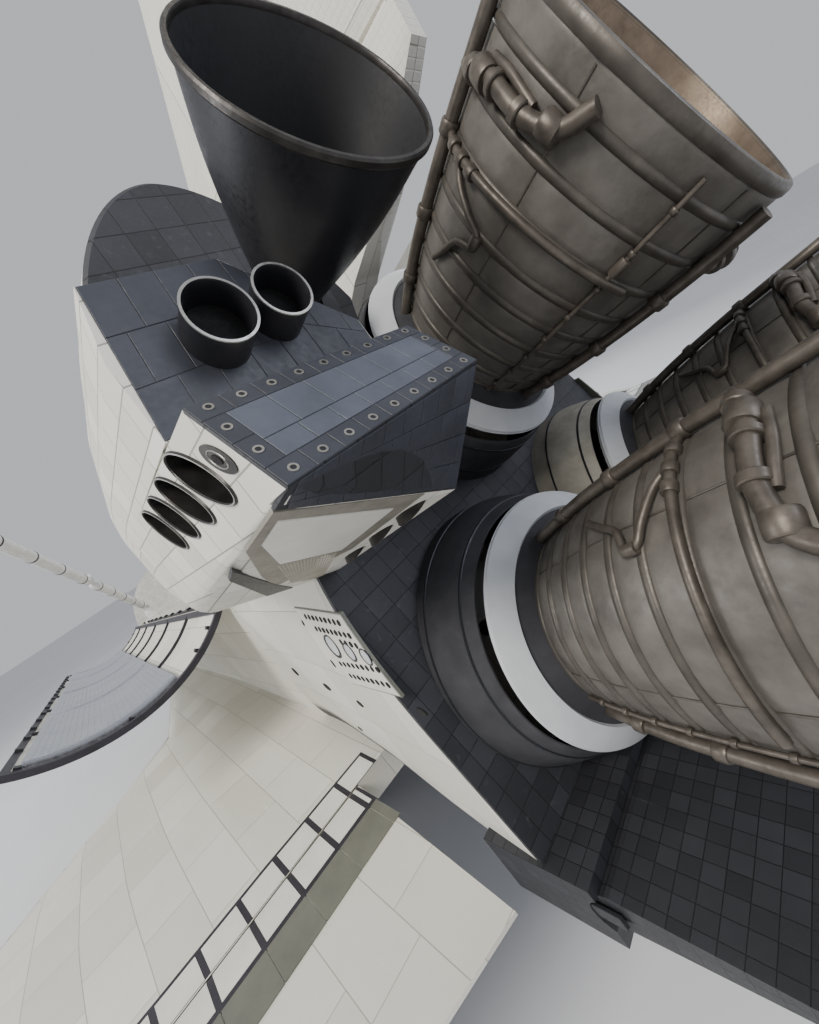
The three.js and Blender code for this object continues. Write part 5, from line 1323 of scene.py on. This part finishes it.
# A thin strip on the wing's or an elevon's upper skin, between two stations and two spans.
def topStrip(height, stations, fromY, toY, proud, root=0.5):
    spans = np.linspace(0, 1, max(3, round((toY - fromY) / 5)))
    x, v = np.meshgrid(stations[0] + (stations[1] - stations[0]) * np.linspace(0, 1, 9), spans, indexing="ij")
    y = fromY + (toY - fromY) * v
    z = height(x, y)
    return plate(np.dstack([x, y, z + proud]), np.dstack([x, y, z - root]))


# A row of strips, one in each cell between the edges, drawn in from them by a margin.
def topRow(height, stations, edges, margin, proud, root=0.5):
    return joined(*[topStrip(height, stations, a + margin, b - margin, proud, root)
                    for a, b in zip(edges[:-1], edges[1:])])


cellEdges = np.arange(*flippers["spans"], flippers["pitch"])
frameStrip = topStrip(wingTop, flippers["wingFrame"], 113, 460, 0.16, 0.15)
wingDoors = topRow(wingTop, flippers["wing"], cellEdges, 1.5, 0.32, 0.15)
for side, place in starboardDrawn:
    makePiece(f"wing_{side}", place(tube(mainRings)), "wing", "airframe", [f"wing_{side}"],
              [place(cut) for cut in (wellCut, *coveCuts)], smooth=40)
    makePiece(f"leading_edge_{side}", place(tube(edgeRings)), "carbon", "airframe",
              [f"leading_edge_{side}"], smooth=50)
    makePiece(f"edge_seals_{side}", place(joined(*sealShapes)), "carbon", "airframe",
              smooth=50)
    makePiece(f"flipper_frame_{side}", place(frameStrip), "darkEdge", "airframe")
    makePiece(f"flipper_doors_{side}", place(wingDoors), "smoothWhite", "airframe")
    for name, (start, end) in elevons.items():
        body = f"elevon_{name}_{side}"
        smoothCopy(body, body, "wing", body)
        edges = [start + 1] + [y for y in cellEdges if start + 4 < y < end - 4] + [end - 1]
        doors = topRow(elevonTop, flippers["elevon"], edges, 1.5, 0.28)
        surround = topStrip(elevonTop, flippers["elevonFrame"], start + 0.5, end - 0.5, 0.14)
        strips = topRow(elevonTop, flippers["strip"], edges, 0.2, 0.3)
        makePiece(f"{body}_doors", place(doors), "smoothWhite", body)
        makePiece(f"{body}_frame", place(surround), "darkEdge", body)
        makePiece(f"{body}_strip", place(strips), "rubStrip", body)
smoothCopy("body_flap", "body_flap", "blackTile", "body_flap")
print("wings ready")

# Landing gear: struts and doors keep the solids' shapes; the wheels get round tyres, grooves and hubs.
gear = {
    "nose": {"x": 377.5, "tyre": 16, "width": 8.8, "gauge": 9.5, "hub": 7.5, "axle": 2},
    "main": {"x": 1172, "tyre": 22.25, "width": 16, "gauge": 13.5, "hub": 10, "axle": 3.2, "y": 136},
}


# A tyre's profile runs from hub to hub over the tread: radius = rim + wall * (1 - |t|^5)^0.42, less a narrow
# bell curve at each groove. A hub's half profile is mirrored about the middle of the wheel.
def wheelShapes(spec, y):
    axle = groundAt(spec["x"]) + spec["tyre"] / math.cos(lean)
    half, tyre, rim = spec["width"] / 2, spec["tyre"], spec["hub"] * 1.06
    t = np.linspace(-1, 1, 61)
    bulge = 1 - np.abs(t) ** 5
    radius = rim + (tyre - 0.02 - rim) * bulge ** 0.42
    for groove in (-0.42, -0.14, 0.14, 0.42):
        radius = radius - 0.35 * np.exp(-((t - groove) / 0.028) ** 2)
    tyres, hubs = [], []
    for way in (-1, 1):
        centre = (spec["x"], y + way * spec["gauge"], axle)
        ring = list(zip(radius, half * t)) + [(rim - 0.6, half * 0.8), (rim - 0.6, -half * 0.8)]
        tyres.append(turned(ring, centre, (0, 1, 0), 128, True))
        hub = [(0.2, 0.62), (spec["axle"] * 1.5, 0.62), (spec["axle"] * 1.6, 0.3), (rim * 0.8, 0.34),
               (rim * 0.86, 0.86), (rim + 0.1, 0.9)]
        hub = [(r, -half * share) for r, share in hub] + [(r, half * share) for r, share in hub[::-1]]
        hubs.append(turned(hub, centre, (0, 1, 0), 96))
        ring = [(rim * 0.62 * math.cos(a), rim * 0.62 * math.sin(a))
                for a in np.linspace(0, 2 * math.pi, 10, endpoint=False)]
        spots = [(centre[0] + dx, centre[1] + k * half * 0.36, axle + dz) for dx, dz in ring for k in (-1, 1)]
        hubs.append(studs(spots, (0, 1, 0), rim * 0.07, half * 0.06, 10))
    rod = [(spec["axle"], -spec["gauge"]), (spec["axle"], spec["gauge"])]
    hubs.append(turned(rod, (spec["x"], y, axle), (0, 1, 0), 48))
    return joined(*tyres), joined(*hubs)


for name, spec, y in (("nose_wheels", gear["nose"], 0), ("main_wheels_port", gear["main"], -gear["main"]["y"]),
                      ("main_wheels_starboard", gear["main"], gear["main"]["y"])):
    tyres, hubs = wheelShapes(spec, y)
    makePiece(name + "_tyres", tyres, "tyre", name, [name])
    makePiece(name + "_hubs", hubs, "gearPaint", name)
smoothCopy("nose_strut", "nose_strut", "gearPaint", "airframe")
smoothCopy("nose_steering_leg", "nose_steering_leg", "chrome", "nose_steering_leg")
for side in ("port", "starboard"):
    for node in (f"nose_gear_door_{side}", f"main_gear_door_{side}"):
        smoothCopy(node, node, "blackTile", "airframe")
    smoothCopy(f"main_strut_{side}", f"main_strut_{side}", "gearPaint", "airframe")
print("gear ready")

# Manipulator arm: cloth-wrapped tubes with dark bands, on the solids' own joints.
arm = {"at": (679, -82.5, 442.5), "pitch": 15.9, "yaw": -12.4, "radius": 6.2, "bands": 5,
       "booms": {"arm_upper_boom": (13.8, 237), "arm_lower_boom": (262.8, 529)}}
armLine = aim(arm["pitch"], arm["yaw"])


def armTube(fromS, toS):
    r = arm["radius"]
    ends = [(r - 1.4, fromS), (r - 0.3, fromS + 0.6), (r, fromS + 2), (r, toS - 2), (r - 0.3, toS - 0.6),
            (r - 1.4, toS)]
    return turned(ends, arm["at"], armLine, 64)


def armBands(stations, rise=0.35, width=1.2):
    r = arm["radius"]
    return joined(*[turned([(r - 0.3, s - width), (r + rise, s - width + 0.3), (r + rise, s + width - 0.3),
                            (r - 0.3, s + width)], arm["at"], armLine, 64, True) for s in stations])


for name, (start, end) in arm["booms"].items():
    smoothCopy(f"{name}_joint", name, "gearPaint", name)
    makePiece(f"{name}_cloth", armTube(start - 0.2, end - 0.3), "armCloth", name, smooth=25)
    bands = armBands(np.linspace(start + 14, end - 12, arm["bands"]))
    makePiece(f"{name}_bands", bands, "darkMetal", name)
for name, body in (("arm_pedestal", "airframe"), ("arm_shoulder", "arm_shoulder"),
                   ("arm_end_effector", "arm_end_effector")):
    smoothCopy(name, name, "armCloth", body)
print("arm ready")

# Umbilical panels and vents on the aft fuselage sides: rows of slots (from x and z, to x and z, count), round
# couplings (x, z, radius) and vents (x, z, half width, half height).
umbilical = {
    "rim": [(1440, 410.6), (1489, 408.4), (1499, 375.2), (1452.4, 371.2)],
    "plate": [(1440.9, 409.9), (1488.4, 407.7), (1498, 375.9), (1453, 371.9)],
    "rows": [(1450, 406.2, 1483.5, 404.6, 9), (1455, 400.6, 1487, 399.6, 9), (1475, 396, 1488, 395.6, 4),
             (1458, 383.4, 1494, 386.4, 9), (1460, 377.4, 1494.5, 380.0, 9)],
    "rounds": [(1462, 392.6, 5.6), (1477.5, 391.6, 4.2), (1490.5, 391.2, 3.6)],
}
vents = [(1395.3, 355, 4.4, 2.6), (1436.9, 354.2, 3.0, 2.0), (1389, 319.4, 2.6, 1.8), (1506.4, 371, 3.0, 1.5),
         (1340.6, 356.4, 4, 3.4), (1440, 402.4, 0.8, 1.4), (1445.3, 381, 0.9, 2.2), (1352, 440, 2.2, 2.2)]
slots = [(x, z, 1.0 + 0.25 * (k % 3 == 2)) for x0, z0, x1, z1, count in umbilical["rows"]
         for k, (x, z) in enumerate(zip(np.linspace(x0, x1, count), np.linspace(z0, z1, count)))]
# Pieces of a side: name, shape, look, slot, replaced nodes.
sideParts = [
    ("umbilical_rim", sidePlate(umbilical["rim"], 0.25, 1.2), "rubStrip", "steel", ["umbilical_panel_"]),
    ("umbilical_plate", sidePlate(umbilical["plate"], 0.45, 1.2), "smoothWhite", "tile_white", []),
    ("umbilical_slots", joined(*[sideDisc(x, z, (half, 1.25), 0.75, 0.6, 2, 12) for x, z, half in slots]),
     "paintedOpeningShade", "tile_black", []),
    ("umbilical_rings", joined(*[sideDisc(x, z, (r, r), 0.8, 0.7, 4, 48) for x, z, r in umbilical["rounds"]]),
     "darkMetal", "steel", []),
    ("umbilical_cups", joined(*[sideDisc(x + 0.22 * r, z + 0.1 * r, (0.72 * r, 0.8 * r), 0.95, 0.7, 4, 48)
                                for x, z, r in umbilical["rounds"]]), "paleRing", "steel", []),
    ("side_vents", joined(*[sideDisc(x, z, (a, b), 0.3, 0.6, 4, 32) for x, z, a, b in vents]), "paintedOpeningShade",
     "tile_black", [])]
for side, place in portDrawn:
    for name, shape, look, slot, nodes in sideParts:
        makePiece(f"{name}_{side}", place(shape), look, "airframe", [node + side for node in nodes])
print("panels ready")

# Floor, soft studio light and the camera.
floorMaterial = plain("pale_studio_floor", "#d9dadc", "#d2d3d6", 0.7, cloud=300, depth=0.0)
floorSpan = 260
floor = makeObject("floor", (np.zeros((4, 3)), [[0, 1, 2, 3]]))
floorCorners = floorSpan * np.array([[-1, -1, 0], [1, -1, 0], [1, 1, 0], [-1, 1, 0]], float)
floor.data.vertices.foreach_set("co", floorCorners.ravel())  # already in metres, not in the airframe's inches
floor.data.materials.append(floorMaterial)

world = bpy.data.worlds.new("studio")
bpy.context.scene.world = world
world.use_nodes = True
sky = world.node_tree.nodes["Background"].inputs
sky["Color"].default_value = linear("#dfe2e8")
sky["Strength"].default_value = 0.75


def softLight(name, place, target, size, power, colour):
    light = bpy.data.lights.new(name, "AREA")
    light.shape, light.size, light.energy, light.color = "DISK", size, power, linear(colour)[:3]
    lamp = bpy.data.objects.new(name, light)
    bpy.context.scene.collection.objects.link(lamp)
    toward = Vector(target) - Vector(place)
    lamp.location, lamp.rotation_euler = place, toward.to_track_quat("-Z", "Y").to_euler()
    return lamp


# Name, place and target in metres, size in metres, power in watts, colour.
softLight("key", (22, -26, 34), (8, 0, 4), 16, 14000, "#fffaf2")
softLight("fill", (44, 12, 18), (12, 0, 6), 18, 5000, "#eaf0ff")
softLight("side", (-20, -34, 22), (-4, 0, 4), 18, 8000, "#ffffff")
softLight("far", (-6, 36, 26), (0, 0, 4), 18, 6000, "#fbfcff")

# The camera's place and axes in the airframe's inches, its lens and sensor in millimetres, and its shift.
view = {"at": (1621.2, -172.39, 448.656), "right": (0.58801134, 0.587229, -0.55624165),
        "down": (-0.21228519, -0.55154486, -0.8066804), "forward": (-0.78049835, 0.59241908, -0.19965461),
        "lens": 14.694, "sensor": 36, "shift": (0.000915, 0.011877)}
cameraData = bpy.data.cameras.new("camera")
cameraData.sensor_width, cameraData.lens = view["sensor"], view["lens"]
cameraData.clip_start, cameraData.clip_end = 0.02, 900
cameraData.shift_x, cameraData.shift_y = view["shift"]
camera = bpy.data.objects.new("camera", cameraData)
bpy.context.scene.collection.objects.link(camera)
cameraAxes = rowTurn @ np.array([view["right"], view["down"], view["forward"]]).T * [1, -1, -1]
cameraSpot = toRow([view["at"]]).T
camera.matrix_world = Matrix(np.hstack([cameraAxes, cameraSpot]).tolist() + [[0, 0, 0, 1]])
bpy.context.scene.camera = camera
bpy.context.scene.view_settings.view_transform = "AgX"

print("camera and light ready")
